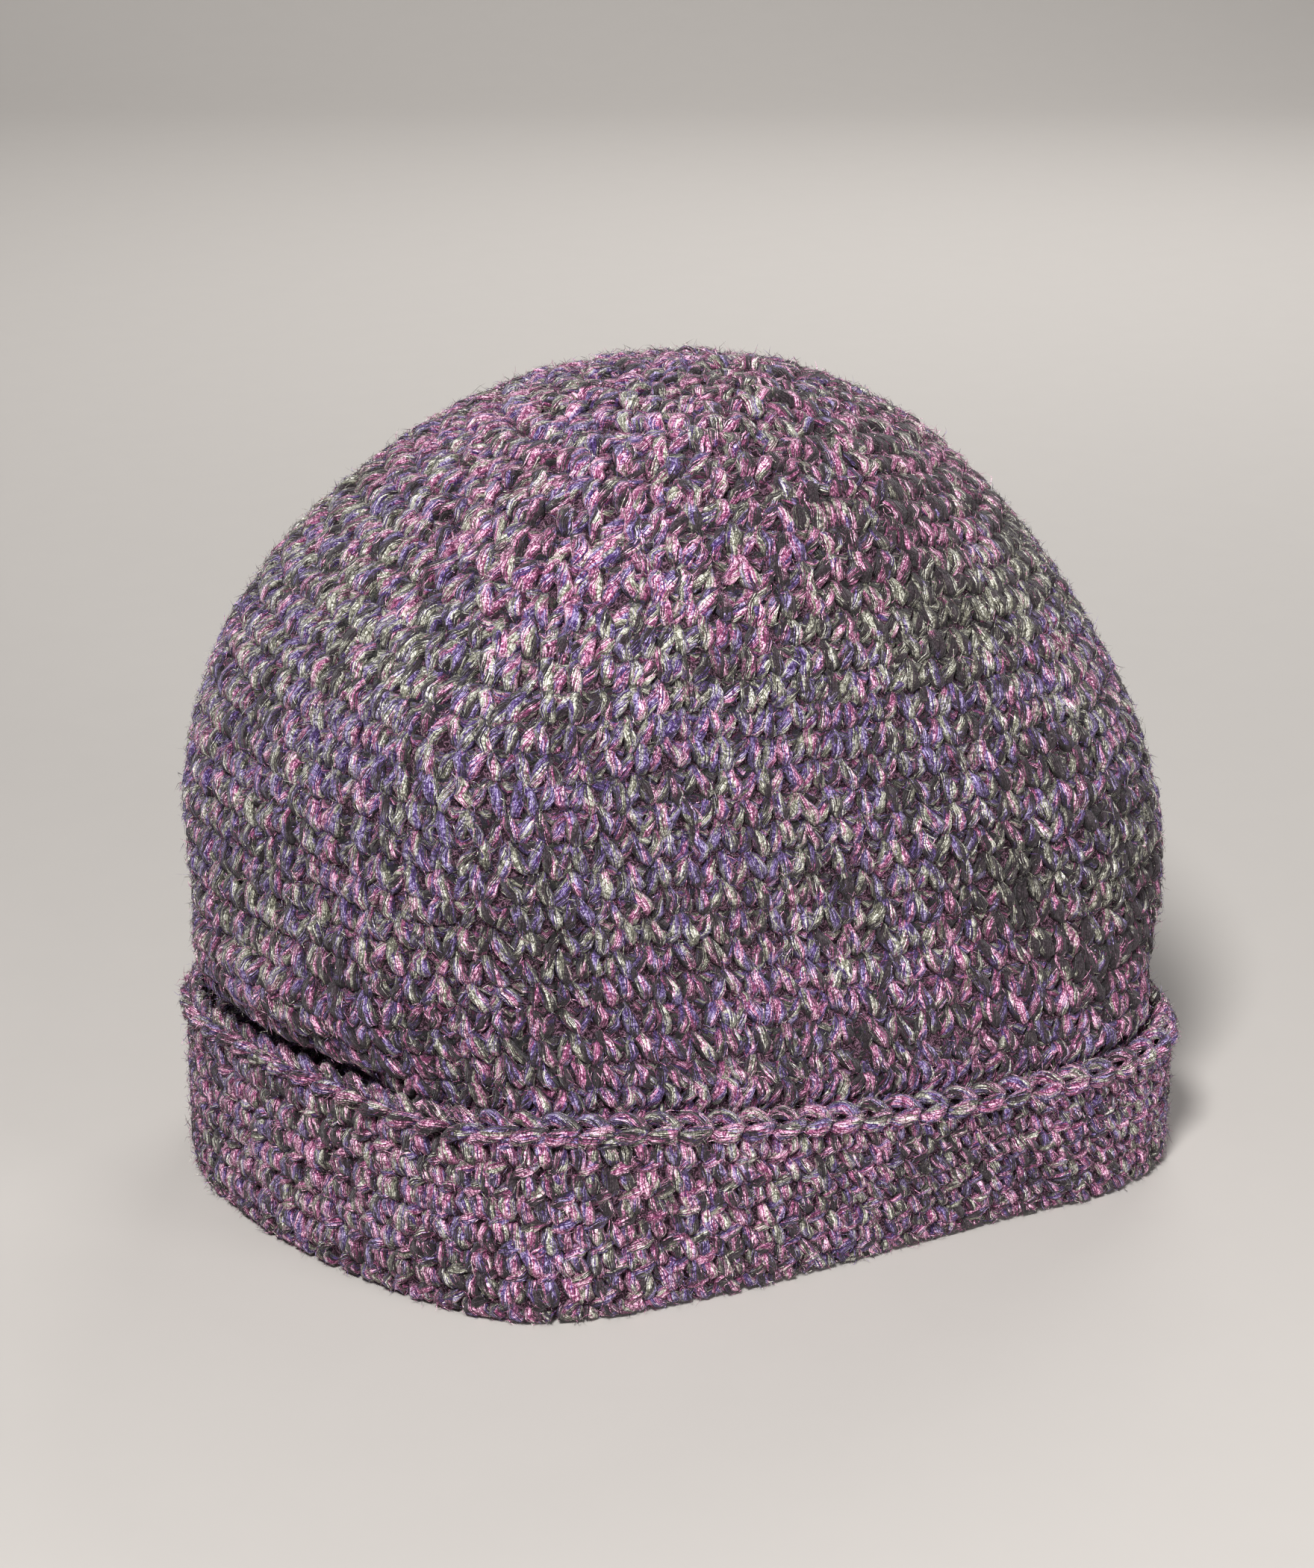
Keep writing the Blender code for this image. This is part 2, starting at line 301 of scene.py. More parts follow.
def solid_tree(node):
    """The solid, to cast rays at."""
    bm = solid_mesh(node)
    tree = BVHTree.FromBMesh(bm)
    bm.free()
    return tree


def unit(vectors):
    """The same directions, each of length 1."""
    return vectors / np.maximum(np.linalg.norm(vectors, axis=-1, keepdims=True), 1e-12)


def way_ahead(ring):
    """The direction along a closed ring at each of its points."""
    return unit(np.roll(ring, -NEARBY, axis=0) - np.roll(ring, NEARBY, axis=0))


def beside(turn, columns):
    """The columns on both sides of these turns, and how far each turn is from the first to the second."""
    column = (turn % 1) * columns
    left = np.floor(column).astype(int) % columns
    return left, (left + 1) % columns, (column - np.floor(column))[..., None]


def read_round(ring, turn):
    """The values of a closed ring at these turns."""
    left, right, share = beside(turn, len(ring))
    return ring[left] * (1 - share) + ring[right] * share


def lengthwise(points):
    """How far along an open line of points each one is."""
    steps = np.linalg.norm(np.diff(points, axis=0), axis=-1)
    return np.concatenate([np.zeros((1,) + steps.shape[1:]), np.cumsum(steps, axis=0)])


def smooth_between(before, start, end, after, t):
    """The smooth curve from start to end, given the values beyond them."""
    bend = 3 * (start - end) + after - before
    return start + 0.5 * t * (end - before + t * (2 * before - 5 * start + 4 * end - after + t * bend))


def evenly_round(ring, count):
    """The closed ring smoothed, and read at even steps anticlockwise from the back of the hat."""
    middle = ring.mean(axis=0)
    order = np.argsort(np.arctan2(ring[:, 1] - middle[1], ring[:, 0] - middle[0]))
    ring = ring[order]
    t = np.linspace(0, 1, SMOOTH_STEPS, endpoint=False)[None, :, None]
    near = [np.roll(ring, -k, axis=0)[:, None] for k in (-1, 0, 1, 2)]
    fine = smooth_between(*near, t).reshape(-1, 3)
    angle = np.arctan2(fine[:, 1] - middle[1], fine[:, 0] - middle[0])
    fine = np.roll(fine, -np.argmin(np.abs(angle - pi / 2)), axis=0)
    fine = np.concatenate([fine, fine[:1]])
    length = lengthwise(fine)
    places = np.arange(count) / count * length[-1]
    return np.stack([np.interp(places, length, fine[:, k]) for k in range(3)], -1)


class Cloth:
    """A surface of cloth round the hat, as rings of points from its lower edge up. A place on it is a turn
    round the hat, 0 to 1 from the back, and a row, counted in rings."""

    def __init__(self, rings):
        self.rings = rings
        self.last = len(rings) - 1

    def at(self, turn, row):
        """The points at these places."""
        turn, row = np.broadcast_arrays(np.asarray(turn, float), np.asarray(row, float))
        left, right, share = beside(turn, self.rings.shape[1])
        row = np.clip(row, 0, self.last)
        base = np.clip(np.floor(row).astype(int), 0, self.last - 1)

        def along_ring(step):
            ring = np.clip(base + step, 0, self.last)
            start = self.rings[ring, left]
            return start + (self.rings[ring, right] - start) * share

        near = [along_ring(step) for step in (-1, 0, 1, 2)]
        return smooth_between(*near, (row - base)[..., None])

    def outward(self, turn, row):
        """The direction out of the cloth's face."""
        row = np.clip(row, 0, self.last - SLOPE_ROW)
        round_hat = self.at(turn + SLOPE_TURN, row) - self.at(turn - SLOPE_TURN, row)
        up = self.at(turn, row + SLOPE_ROW) - self.at(turn, row - SLOPE_ROW)
        return unit(np.cross(round_hat, up))

    def moved_in(self, depth):
        """The rings, each of whose points is moved in from the face by its depth."""
        turns = np.arange(READ_COLUMNS) / READ_COLUMNS
        row, turn = np.meshgrid(np.arange(self.last + 1), turns, indexing="ij")
        return self.rings - self.outward(turn, row) * depth

    def girth(self, row):
        """The length once round the cloth at this row."""
        ring = self.at(np.arange(READ_COLUMNS + 1) / READ_COLUMNS, row)
        return lengthwise(ring)[-1]


def read_crown():
    """The crown's outer face: the rings of corners round its closing point, the lowest first."""
    bm = solid_mesh("crown")
    hubs = [corner for corner in bm.verts if len(corner.link_edges) > FAN_EDGES]
    ring = {max(hubs, key=lambda corner: corner.co.z)}
    seen = set(ring)
    rings = []
    while ring:
        rings.append(np.array([corner.co for corner in ring]))
        ring = {edge.other_vert(corner) for corner in ring for edge in corner.link_edges} - seen
        seen |= ring
    bm.free()
    outer = rings[: len(rings) // 2]
    closing = np.repeat(outer[0], READ_COLUMNS, axis=0)
    return slouched(np.array([*(evenly_round(ring, READ_COLUMNS) for ring in outer[:0:-1]), closing]))


def slouched(rings):
    """The same face, read with its closing point slipped back out of sight, as the hat's rounds run."""
    tree = solid_tree("crown")
    spans = np.ptp(rings[:, :, 1], axis=1)
    widest = int(np.argmax(spans))
    for number in range(widest + 1, len(rings)):
        shift = SLOUCH * (1 - spans[number] / spans[widest])
        for column, point in enumerate(rings[number] + shift):
            out = Vector(point - HOLLOW_MIDDLE).normalized()
            rings[number, column] = tree.ray_cast(Vector(HOLLOW_MIDDLE) + out * OUT_OF_REACH, -out)[0]
    return Cloth(rings)


class Rim:
    """The cuff's plan and heights, read once round the hat from the back."""

    def __init__(self):
        cuff = solid_tree("cuff")
        edging = solid_tree("cuff_edging")
        low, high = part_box("cuff")
        middle = (low + high) / 2
        turns = np.arange(READ_COLUMNS) * 2 * pi / READ_COLUMNS
        ways = [Vector((np.cos(angle), np.sin(angle), 0)) for angle in turns]
        ring = np.array([cuff.ray_cast(middle + out * OUT_OF_REACH, -out)[0] for out in ways])
        self.outline = evenly_round(ring, READ_COLUMNS)
        ahead = way_ahead(self.outline)
        self.out = unit(np.stack([ahead[:, 1], -ahead[:, 0], 0 * ahead[:, 0]], -1))
        wall = np.median([self.through(cuff, k) for k in range(0, READ_COLUMNS, WALL_STEP)])
        inside = self.outline - self.out * wall / 2
        down = Vector((0, 0, -1))
        above = [Vector((x, y, OUT_OF_REACH)) for x, y, _ in inside]
        self.top = np.array([cuff.ray_cast(point, down)[0].z for point in above])
        self.edging_top = np.array([edging.ray_cast(point, down)[0].z for point in above])
        self.edging = np.array([self.bead(edging, k) for k in range(READ_COLUMNS)])

    def through(self, tree, k):
        """The thickness of the wall at this place."""
        out = Vector(self.out[k])
        outer = Vector(self.outline[k])
        inner = tree.ray_cast(outer - out * MM, -out)[0]
        return (outer - inner).length

    def bead(self, tree, k):
        """The middle of the edging's bead and half its width, at this place."""
        out = Vector(self.out[k])
        level = Vector(self.outline[k])
        level.z = (self.top[k] + self.edging_top[k]) / 2
        outer = tree.ray_cast(level + out * BEAD_REACH, -out)[0]
        inner = tree.ray_cast(outer - out * MM, -out)[0]
        return (*((outer + inner) / 2), (outer - inner).length / 2)

    def cuff_cloth(self, under, corner):
        """The cuff's face, from under the fold at the floor up to the edging."""
        quarter = corner * (1 - 0.5**0.5)
        section = [(under, 0), ((under + corner) / 2, 0), (corner, 0), (quarter, quarter), (0, corner)]
        rings = []
        for inset, height in section:
            rings.append(self.outline - self.out * inset)
            rings[-1][:, 2] = height
        for share in np.linspace(0, 1, 7)[1:]:
            rings.append(self.outline.copy())
            rings[-1][:, 2] = corner + (self.top - corner) * share
        return Cloth(np.array(rings))


def drawn_in(cloth, edging_top):
    """The crown's cloth, drawn in where the cuff's edge lies against it."""
    apart = (cloth.rings[..., 2] - edging_top - TUCK_REACH / 4) / TUCK_REACH
    depth = np.interp(np.arange(READ_COLUMNS) / READ_COLUMNS, *zip(*FOLD_TUCK)) * MM * np.exp(-(apart**2))
    return Cloth(cloth.moved_in(depth[..., None]))


rim = Rim()
crown = drawn_in(read_crown(), rim.edging_top)
cuff = rim.cuff_cloth(under=6.0 * MM, corner=3.0 * MM)


def even_rows(cloth, first, last, height):
    """Rows on the cloth that part it into rounds of about this height, from the first row to the last."""
    turns = np.linspace(*FRONT_HALF, TURN_READINGS)
    rows = np.linspace(first, last, ROW_READINGS)
    length = lengthwise(cloth.at(turns[None, :], rows[:, None])).mean(axis=1)
    count = int(round(length[-1] / height))
    return np.interp(np.linspace(0, length[-1], count + 1), length, rows)


def edging_row():
    """The row of the crown that is level with the edging's top."""
    heights = crown.rings[:, :, 2].mean(axis=1)
    return float(np.interp(rim.edging_top.mean(), heights, np.arange(len(heights))))


LENGTH = {"unit": "LENGTH", "subtype": "DISTANCE"}
COLOUR = {"size": 3, "subtype": "COLOR"}


class CrochetSizes(PropertyGroup):
    """Sizes of the stitches."""

    stitch_width: FloatProperty(
        name="Stitch width", description="Width of one stitch along its round", default=6.3 * MM, **LENGTH
    )
    round_height: FloatProperty(
        name="Round height", description="Height of one round of the crown", default=5.9 * MM, **LENGTH
    )
    cuff_round_height: FloatProperty(
        name="Cuff round height", description="Height of one round of the cuff", default=4.7 * MM, **LENGTH
    )
    yarn_radius: FloatProperty(
        name="Yarn radius", description="Half the thickness of the worked yarn", default=1.32 * MM, **LENGTH
    )
    unevenness: FloatProperty(
        name="Unevenness",
        description="How much the stitches differ from one another",
        default=1.0,
        min=0.0,
        max=2.0,
        subtype="FACTOR",
    )


class YarnColours(PropertyGroup):
    """Colours of the strands that the yarn is spun from."""

    pink: FloatVectorProperty(
        name="Pink", description="Colour of the pink strand", default=(0.66, 0.235, 0.42), **COLOUR
    )
    violet: FloatVectorProperty(
        name="Violet", description="Colour of the violet strand", default=(0.185, 0.115, 0.34), **COLOUR
    )
    sage: FloatVectorProperty(
        name="Sage", description="Colour of the grey-green strand", default=(0.48, 0.465, 0.365), **COLOUR
    )
    charcoal: FloatVectorProperty(
        name="Charcoal", description="Colour of the dark strand", default=(0.034, 0.018, 0.026), **COLOUR
    )


class LooseFibres(PropertyGroup):
    """The fibres that stand out of the yarn."""

    number: IntProperty(
        name="Fibres", description="How many loose fibres stand out of the whole hat", default=264000, min=0
    )
    length: FloatProperty(
        name="Fibre length", description="Longest usual length of a loose fibre", default=4.5 * MM, **LENGTH
    )
    width: FloatProperty(
        name="Fibre width", description="Width of a loose fibre at its root", default=0.12 * MM, **LENGTH
    )


class StudioStage(PropertyGroup):
    """The floor, the lights and the camera."""

    aim: FloatVectorProperty(
        name="Aim",
        description="The point that the camera looks at",
        default=(0.0140, 0.03275, 0.0632),
        size=3,
        unit="LENGTH",
        subtype="TRANSLATION",
    )
    turn: FloatProperty(
        name="Camera turn",
        description="Degrees that the camera stands round to the right from straight in front",
        default=-27.5,
    )
    rise: FloatProperty(
        name="Camera rise", description="Degrees that the camera looks down by", default=19.7
    )
    distance: FloatProperty(
        name="Camera distance", description="Distance from the camera to its aim", default=0.75, **LENGTH
    )
    lens: FloatProperty(
        name="Focal length", description="Focal length for a picture whose long side is 36 mm", default=79.3
    )
    floor_colour: FloatVectorProperty(
        name="Floor colour", description="Colour of the plain floor", default=(0.505, 0.475, 0.445), **COLOUR
    )


def new_group(name, inputs, outputs):
    """An empty node group with sockets of these names and kinds, as (tree, what it is given, its results)."""
    tree = bpy.data.node_groups.new(name, "ShaderNodeTree")
    for way, sockets in (("INPUT", inputs), ("OUTPUT", outputs)):
        for label, kind in sockets.items():
            tree.interface.new_socket(label, in_out=way, socket_type="NodeSocket" + kind)
    return tree, tree.nodes.new("NodeGroupInput").outputs, tree.nodes.new("NodeGroupOutput").inputs


def give(tree, socket, value):
    """Gives the socket a value, or links it if the value is another socket."""
    if isinstance(value, bpy.types.NodeSocket):
        tree.links.new(value, socket)
    else:
        socket.default_value = value


def add_node(tree, kind, *values):
    """A new node, whose first inputs are given these values."""
    node = tree.nodes.new("ShaderNode" + kind)
    for socket, value in zip(node.inputs, values):
        give(tree, socket, value)
    return node


def calculate(tree, operation, *values):
    node = add_node(tree, "Math", *values)
    node.operation = operation
    return node.outputs[0]


def added(tree, first, *others):
    """The sum of the values."""
    for other in others:
        first = calculate(tree, "ADD", first, other)
    return first


def times(tree, first, *others):
    """The product of the values."""
    for other in others:
        first = calculate(tree, "MULTIPLY", first, other)
    return first


def blend(tree, share, first, second):
    """The first colour where the share is 0 and the second where it is 1."""
    node = add_node(tree, "Mix")
    node.data_type = "RGBA"
    for number, value in ((0, share), (6, first), (7, second)):
        give(tree, node.inputs[number], value)
    return node.outputs[2]


def stretch(tree, value, low, high, to_low=0.0, to_high=1.0):
    """The value, taken from the range between low and high to the other range, and kept in it."""
    return add_node(tree, "MapRange", value, low, high, to_low, to_high).outputs[0]


def place_vector(tree, x, y):
    return add_node(tree, "CombineXYZ", x, y).outputs[0]


def parts_of(tree, vector):
    return add_node(tree, "SeparateXYZ", vector).outputs


def distance_from(tree, place, middle):
    node = add_node(tree, "VectorMath", place, middle)
    node.operation = "DISTANCE"
    return node.outputs["Value"]


def speckle(tree, vector, scale, detail=2.0, roughness=0.6, dimensions="3D", distortion=0.0):
    """A noise of this scale, in repeats to the unit of the vector."""
    node = add_node(tree, "TexNoise")
    node.noise_dimensions = dimensions
    settings = {"Vector": vector, "Scale": scale, "Detail": detail, "Roughness": roughness}
    for label, value in (settings | {"Distortion": distortion}).items():
        give(tree, node.inputs[label], value)
    return node.outputs["Fac"]


def hairs(tree, vector, scale, thin):
    """A mask of fine curled hairs, which lie where a noise passes through its middle value."""
    noise = speckle(tree, vector, scale, 1.0, 0.5, distortion=HAIR_CURL)
    apart = calculate(tree, "ABSOLUTE", calculate(tree, "SUBTRACT", noise, 0.5))
    return stretch(tree, apart, thin * HAIR_CORE, thin, 1.0, 0.0)


def uv_place(tree, layer):
    node = add_node(tree, "UVMap")
    node.uv_map = layer
    return node.outputs[0]


def relief(tree, height, depth):
    """The normals of a surface with ridges of this depth."""
    node = add_node(tree, "Bump")
    node.inputs["Distance"].default_value = depth
    tree.links.new(height, node.inputs["Height"])
    return node.outputs[0]


def new_material(name, settings):
    """A material with its shader's sockets set, as (material, tree, shader)."""
    material = bpy.data.materials.new(name)
    material.use_nodes = True
    shader = material.node_tree.nodes["Principled BSDF"]
    for socket, value in settings.items():
        shader.inputs[socket].default_value = value
    return material, material.node_tree, shader


# Names of the strands that the yarn is spun from
STRANDS = ("Pink", "Violet", "Sage", "Charcoal")

# The yarn changes colour slowly along its length, so the rounds differ from the edging, 0, to the closing
# round, 1. The shares are of the four strands, and charcoal is what the other three leave. The larger
# charcoal share from 0.04 to 0.2 is partly the yarn's and partly painted shade, where the crown turns under
# towards the cuff.
Stripe = namedtuple("Stripe", "round pink sage violet")
STRIPES = [
    Stripe(0.00, 0.31, 0.17, 0.21),
    # More charcoal up to 0.2: partly the yarn's, partly painted shade where the crown turns under towards the
    # cuff
    Stripe(0.04, 0.23, 0.14, 0.22),
    Stripe(0.20, 0.24, 0.15, 0.23),
    Stripe(0.25, 0.14, 0.31, 0.22),
    Stripe(0.31, 0.15, 0.24, 0.32),
    Stripe(0.52, 0.16, 0.24, 0.32),
    Stripe(0.58, 0.14, 0.33, 0.20),
    Stripe(0.66, 0.16, 0.31, 0.20),
    Stripe(0.72, 0.33, 0.19, 0.22),
    Stripe(1.00, 0.34, 0.18, 0.22),
]

# Patches with more of the charcoal strand, high and low on the right: the middle, how much more of the strand
# there is, and how far from the middle it ends. It is full as far as the core. The high patch is painted
# shade, where the crown's right lobe turns away from the light. The low one is more of the dark strand in the
# yarn.
PATCH_CORE = 0.018
ShadeAndCharcoalPatch = namedtuple("ShadeAndCharcoalPatch", "middle more reach")
SHADE_AND_CHARCOAL_PATCHES = [
    ShadeAndCharcoalPatch((0.034, -0.036, 0.139), 0.22, 0.055),
    ShadeAndCharcoalPatch((0.060, -0.058, 0.064), 0.18, 0.040),
]

# Patterns in the wool, in repeats to the metre: stray waves of its streaks, the fluff, the hairs with their
# thinness, the patches in which its stripes shift, and those in which it is darker
STRAY_WAVES = 260.0
FLUFF = 3200.0
DARK_HAIRS = (620.0, 0.075)
PALE_HAIRS = (700.0, 0.05)
STRIPE_PATCHES = 28.0
GLOOM_PATCHES = 60.0

# How far those patterns reach either way: the waves in turns round the yarn, the ragged edges of the streaks
# in streaks, the shift of the stripes in the hat's height, and the darker wool in its share
STRAY_REACH = (-0.03, 0.03)
RAGGED_REACH = (-0.9, 0.9)
STRIPE_REACH = (-0.05, 0.05)
GLOOM_REACH = (-0.14, 0.14)

# How much of the darker wool's share the pink and the sage strand give, beside the violet one
PINK_GIVES = 0.5
SAGE_GIVES = 0.3

# How curled a hair is, how much of its width is its full middle, and where the pale ones are read
HAIR_CURL = 1.2
HAIR_CORE = 0.4
PALE_HAIR_SHIFT = (3.1, 1.7, 2.3)

# Patterns on the yarn: twist in turns to the millimetre, fibres round it and to the millimetre along it, the
# length of a streak in millimetres, and how high the fibres and the fluff stand beside each other
TWIST = 0.045
FIBRES_ROUND = 40.0
FIBRES_ALONG = 0.26
STREAK_LENGTH = 4.6
FIBRE_HEIGHT = 1.2
FLUFF_HEIGHT = 0.6

# Nearly all values of a noise lie in the first range. The stray waves are read over the second one, and the
# light of the fibres over the third.
NOISE_RANGE = (0.3, 0.7)
WAVE_RANGE = (0.25, 0.75)
FIBRE_RANGE = (0.36, 0.64)

# How light the fibres, the fluff and the dark hairs make the wool, and how dark the painted shade of depth
# makes it: the factors at both ends. A pale hair adds light, and the painted shade is darkest this many
# millimetres deep.
FIBRE_LIGHT = (0.30, 1.56)
FLUFF_LIGHT = (0.45, 1.50)
DARK_HAIR_LIGHT = (1.05, 0.25)
PALE_HAIR_LIGHT = 0.18
DEEPEST_PAINTED_SHADE = -2.3
DEPTH_PAINTED_SHADE = (0.08, 1.12)

# Dark wool is more saturated than light wool: the two ends in lightness and in saturation. The pale lightest
# wool is a painted whitish sheen, and the saturated darkest a painted plum tint of the shade.
LIGHT_RANGE = (0.2, 1.6)
SHEEN_AND_SHADE_SATURATION = (1.36, 0.54)


def strand_limits(tree, where, round_input):
    """The limits under which a streak is pink, sage and violet. Above them all it is charcoal."""
    patch = speckle(tree, where, STRIPE_PATCHES)
    place = added(tree, round_input, stretch(tree, patch, *NOISE_RANGE, *STRIPE_REACH))
    ramp = add_node(tree, "ValToRGB", place)
    while len(ramp.color_ramp.elements) < len(STRIPES):
        ramp.color_ramp.elements.new(0.5)
    for element, stripe in zip(ramp.color_ramp.elements, STRIPES):
        element.position = stripe.round
        element.color = (stripe.pink, stripe.sage, stripe.violet, 1)
    pink, sage, violet = add_node(tree, "SeparateColor", ramp.outputs[0]).outputs
    gloom = stretch(tree, speckle(tree, where, GLOOM_PATCHES), *NOISE_RANGE, *GLOOM_REACH)
    # The high patch darkens the wool as painted shade, the low one gives it more of the charcoal strand
    for dark in SHADE_AND_CHARCOAL_PATCHES:
        apart = distance_from(tree, where, dark.middle)
        gloom = added(tree, gloom, stretch(tree, apart, PATCH_CORE, dark.reach, -dark.more, 0.0))
    pink_to = added(tree, pink, times(tree, gloom, PINK_GIVES))
    sage_to = added(tree, pink_to, sage, times(tree, gloom, SAGE_GIVES))
    return pink_to, sage_to, added(tree, sage_to, added(tree, violet, gloom))


def marl_group():
    """Streaks of the four strands along the yarn, and the ridges of its fibres. Yarn is millimetres along
    it and turns around it, Round is how far up the hat it was worked, and Depth is how many millimetres
    out of the cloth's face it lies: the deeper the wool lies, the darker its painted shade."""
    inputs = {"Yarn": "Vector"} | {strand: "Color" for strand in STRANDS}
    inputs |= {label: "Float" for label in ("Round", "Depth", "Streaks", "Streak Length")}
    tree, given, result = new_group("marled yarn", inputs, {"Colour": "Color", "Height": "Float"})
    where = add_node(tree, "TexCoord").outputs["Object"]
    along, around, _ = parts_of(tree, given["Yarn"])
    stray = stretch(tree, speckle(tree, where, STRAY_WAVES, 1.0, 0.5), *WAVE_RANGE, *STRAY_REACH)
    around = added(tree, around, times(tree, along, TWIST), stray)

    # Fibres: fine light and dark lines along the yarn, and the fluff that breaks them
    lines = place_vector(tree, times(tree, around, FIBRES_ROUND), times(tree, along, FIBRES_ALONG))
    fibres = speckle(tree, lines, 1.0, 1.0, 0.5, "2D")
    fluff = speckle(tree, where, FLUFF, 1.0)
    dark_hairs = hairs(tree, where, *DARK_HAIRS)
    elsewhere = add_node(tree, "VectorMath", where, PALE_HAIR_SHIFT).outputs[0]
    pale_hairs = hairs(tree, elsewhere, *PALE_HAIRS)

    # Strand: the cell that a place falls in picks one of the four, in the shares of this round
    ragged = stretch(tree, fibres, *NOISE_RANGE, *RAGGED_REACH)
    streak_side = added(tree, times(tree, around, given["Streaks"]), ragged)
    streak_run = calculate(tree, "DIVIDE", along, given["Streak Length"])
    cells = add_node(tree, "TexVoronoi")
    cells.voronoi_dimensions = "2D"
    cells.inputs["Scale"].default_value = 1.0
    tree.links.new(place_vector(tree, streak_side, streak_run), cells.inputs["Vector"])
    chosen = add_node(tree, "SeparateColor", cells.outputs["Color"]).outputs[0]
    pink_to, sage_to, violet_to = strand_limits(tree, where, given["Round"])
    colour = given["Charcoal"]
    for limit, strand in ((violet_to, "Violet"), (sage_to, "Sage"), (pink_to, "Pink")):
        colour = blend(tree, calculate(tree, "LESS_THAN", chosen, limit), colour, given[strand])

    # Light and dark: the fibres' own, and painted shade by depth
    light = times(
        tree,
        stretch(tree, fibres, *FIBRE_RANGE, *FIBRE_LIGHT),
        stretch(tree, fluff, *NOISE_RANGE, *FLUFF_LIGHT),
        stretch(tree, dark_hairs, 0.0, 1.0, *DARK_HAIR_LIGHT),
    )
    light = added(tree, light, times(tree, pale_hairs, PALE_HAIR_LIGHT))
    # Painted shade: the deeper the wool lies under the cloth's face, the darker it is painted
    light = times(tree, light, stretch(tree, given["Depth"], DEEPEST_PAINTED_SHADE, 0.0, *DEPTH_PAINTED_SHADE))
    # Painted sheen and shade tint: the lighter the wool, the paler it is made, and the darker, the more
    # saturated
    bright = add_node(tree, "HueSaturation")
    tree.links.new(colour, bright.inputs["Color"])
    tree.links.new(light, bright.inputs["Value"])
    tree.links.new(stretch(tree, light, *LIGHT_RANGE, *SHEEN_AND_SHADE_SATURATION), bright.inputs["Saturation"])
    tree.links.new(bright.outputs[0], result["Colour"])
    height = added(tree, times(tree, fibres, FIBRE_HEIGHT), times(tree, fluff, FLUFF_HEIGHT))
    tree.links.new(height, result["Height"])
    return tree


def yarn_material(name, streaks=13.0, bump=0.42 * MM):
    """Matte marled wool, with this many streaks round the yarn and ridges of this depth."""
    wool = {"Roughness": 0.8, "Specular IOR Level": 0.3, "Sheen Weight": 0.15, "Sheen Roughness": 0.5}
    material, tree, shader = new_material(name, wool)
    group = add_node(tree, "Group")
    group.node_tree = bpy.data.node_groups.get("marled yarn") or marl_group()
    round_worked, depth, _ = parts_of(tree, uv_place(tree, "worked"))
    values = {"Yarn": uv_place(tree, "yarn"), "Round": round_worked, "Depth": depth, "Streaks": streaks}
    colours = bpy.context.scene.beanie_colours
    values |= {strand: (*getattr(colours, strand.lower()), 1) for strand in STRANDS}
    for label, value in (values | {"Streak Length": STREAK_LENGTH}).items():
        give(tree, group.inputs[label], value)
    tree.links.new(group.outputs["Colour"], shader.inputs["Base Color"])
    tree.links.new(relief(tree, group.outputs["Height"], bump), shader.inputs["Normal"])
    return material


# The matted wool's dark and light and its hairs, as factors of the charcoal strand's colour, its patterns,
# the values of its fluff from dark to light, and how deep that is. Its darkness is partly the wool's own and
# partly painted shade between the stitches.
MATTED_PAINTED_SHADE_FACTORS = (0.36, 1.08, 5.4)
MATTED_FLUFF = 2200.0
MATTED_HAIRS = (900.0, 0.05)
MATTED_RANGE = (0.35, 0.7)
MATTED_DEPTH = 0.4 * MM


def shaded_matted_material(name):
    """Matted wool in the depth between the stitches, coloured dark partly as painted shade between them."""
    material, tree, shader = new_material(name, {"Roughness": 0.95, "Specular IOR Level": 0.1})
    where = add_node(tree, "TexCoord").outputs["Object"]
    matted = speckle(tree, where, MATTED_FLUFF)
    charcoal = bpy.context.scene.beanie_colours.charcoal
    # Dark and light of the wool: partly its own dark fuzz and partly painted shade between the stitches
    dark, light, pale = ((*(part * factor for part in charcoal), 1) for factor in MATTED_PAINTED_SHADE_FACTORS)
    wool = blend(tree, stretch(tree, matted, *MATTED_RANGE), dark, light)
    wool = blend(tree, hairs(tree, where, *MATTED_HAIRS), wool, pale)
    tree.links.new(wool, shader.inputs["Base Color"])
    tree.links.new(relief(tree, matted, MATTED_DEPTH), shader.inputs["Normal"])
    return material


def new_mesh(name, points, corners, sizes, layers, material):
    """An object of these points and faces. Corners lists each face's points in turn, sizes how many each
    face has, and layers the UV maps by name, a place for each corner."""
    mesh = bpy.data.meshes.new(name)
    mesh.vertices.add(len(points))
    mesh.vertices.foreach_set("co", np.ascontiguousarray(points, np.float32).ravel())
    mesh.loops.add(len(corners))
    mesh.loops.foreach_set("vertex_index", corners.astype(np.int32))
    mesh.polygons.add(len(sizes))
    mesh.polygons.foreach_set("loop_start", (np.cumsum(sizes) - sizes).astype(np.int32))
    for layer, places in layers.items():
        spread = mesh.uv_layers.new(name=layer)
        spread.data.foreach_set("uv", np.ascontiguousarray(places, np.float32).ravel())
    mesh.update(calc_edges=True)
    mesh.validate()
    mesh.shade_smooth()
    mesh.materials.append(material)
    piece = bpy.data.objects.new(name, mesh)
    bpy.context.scene.collection.objects.link(piece)
    return piece


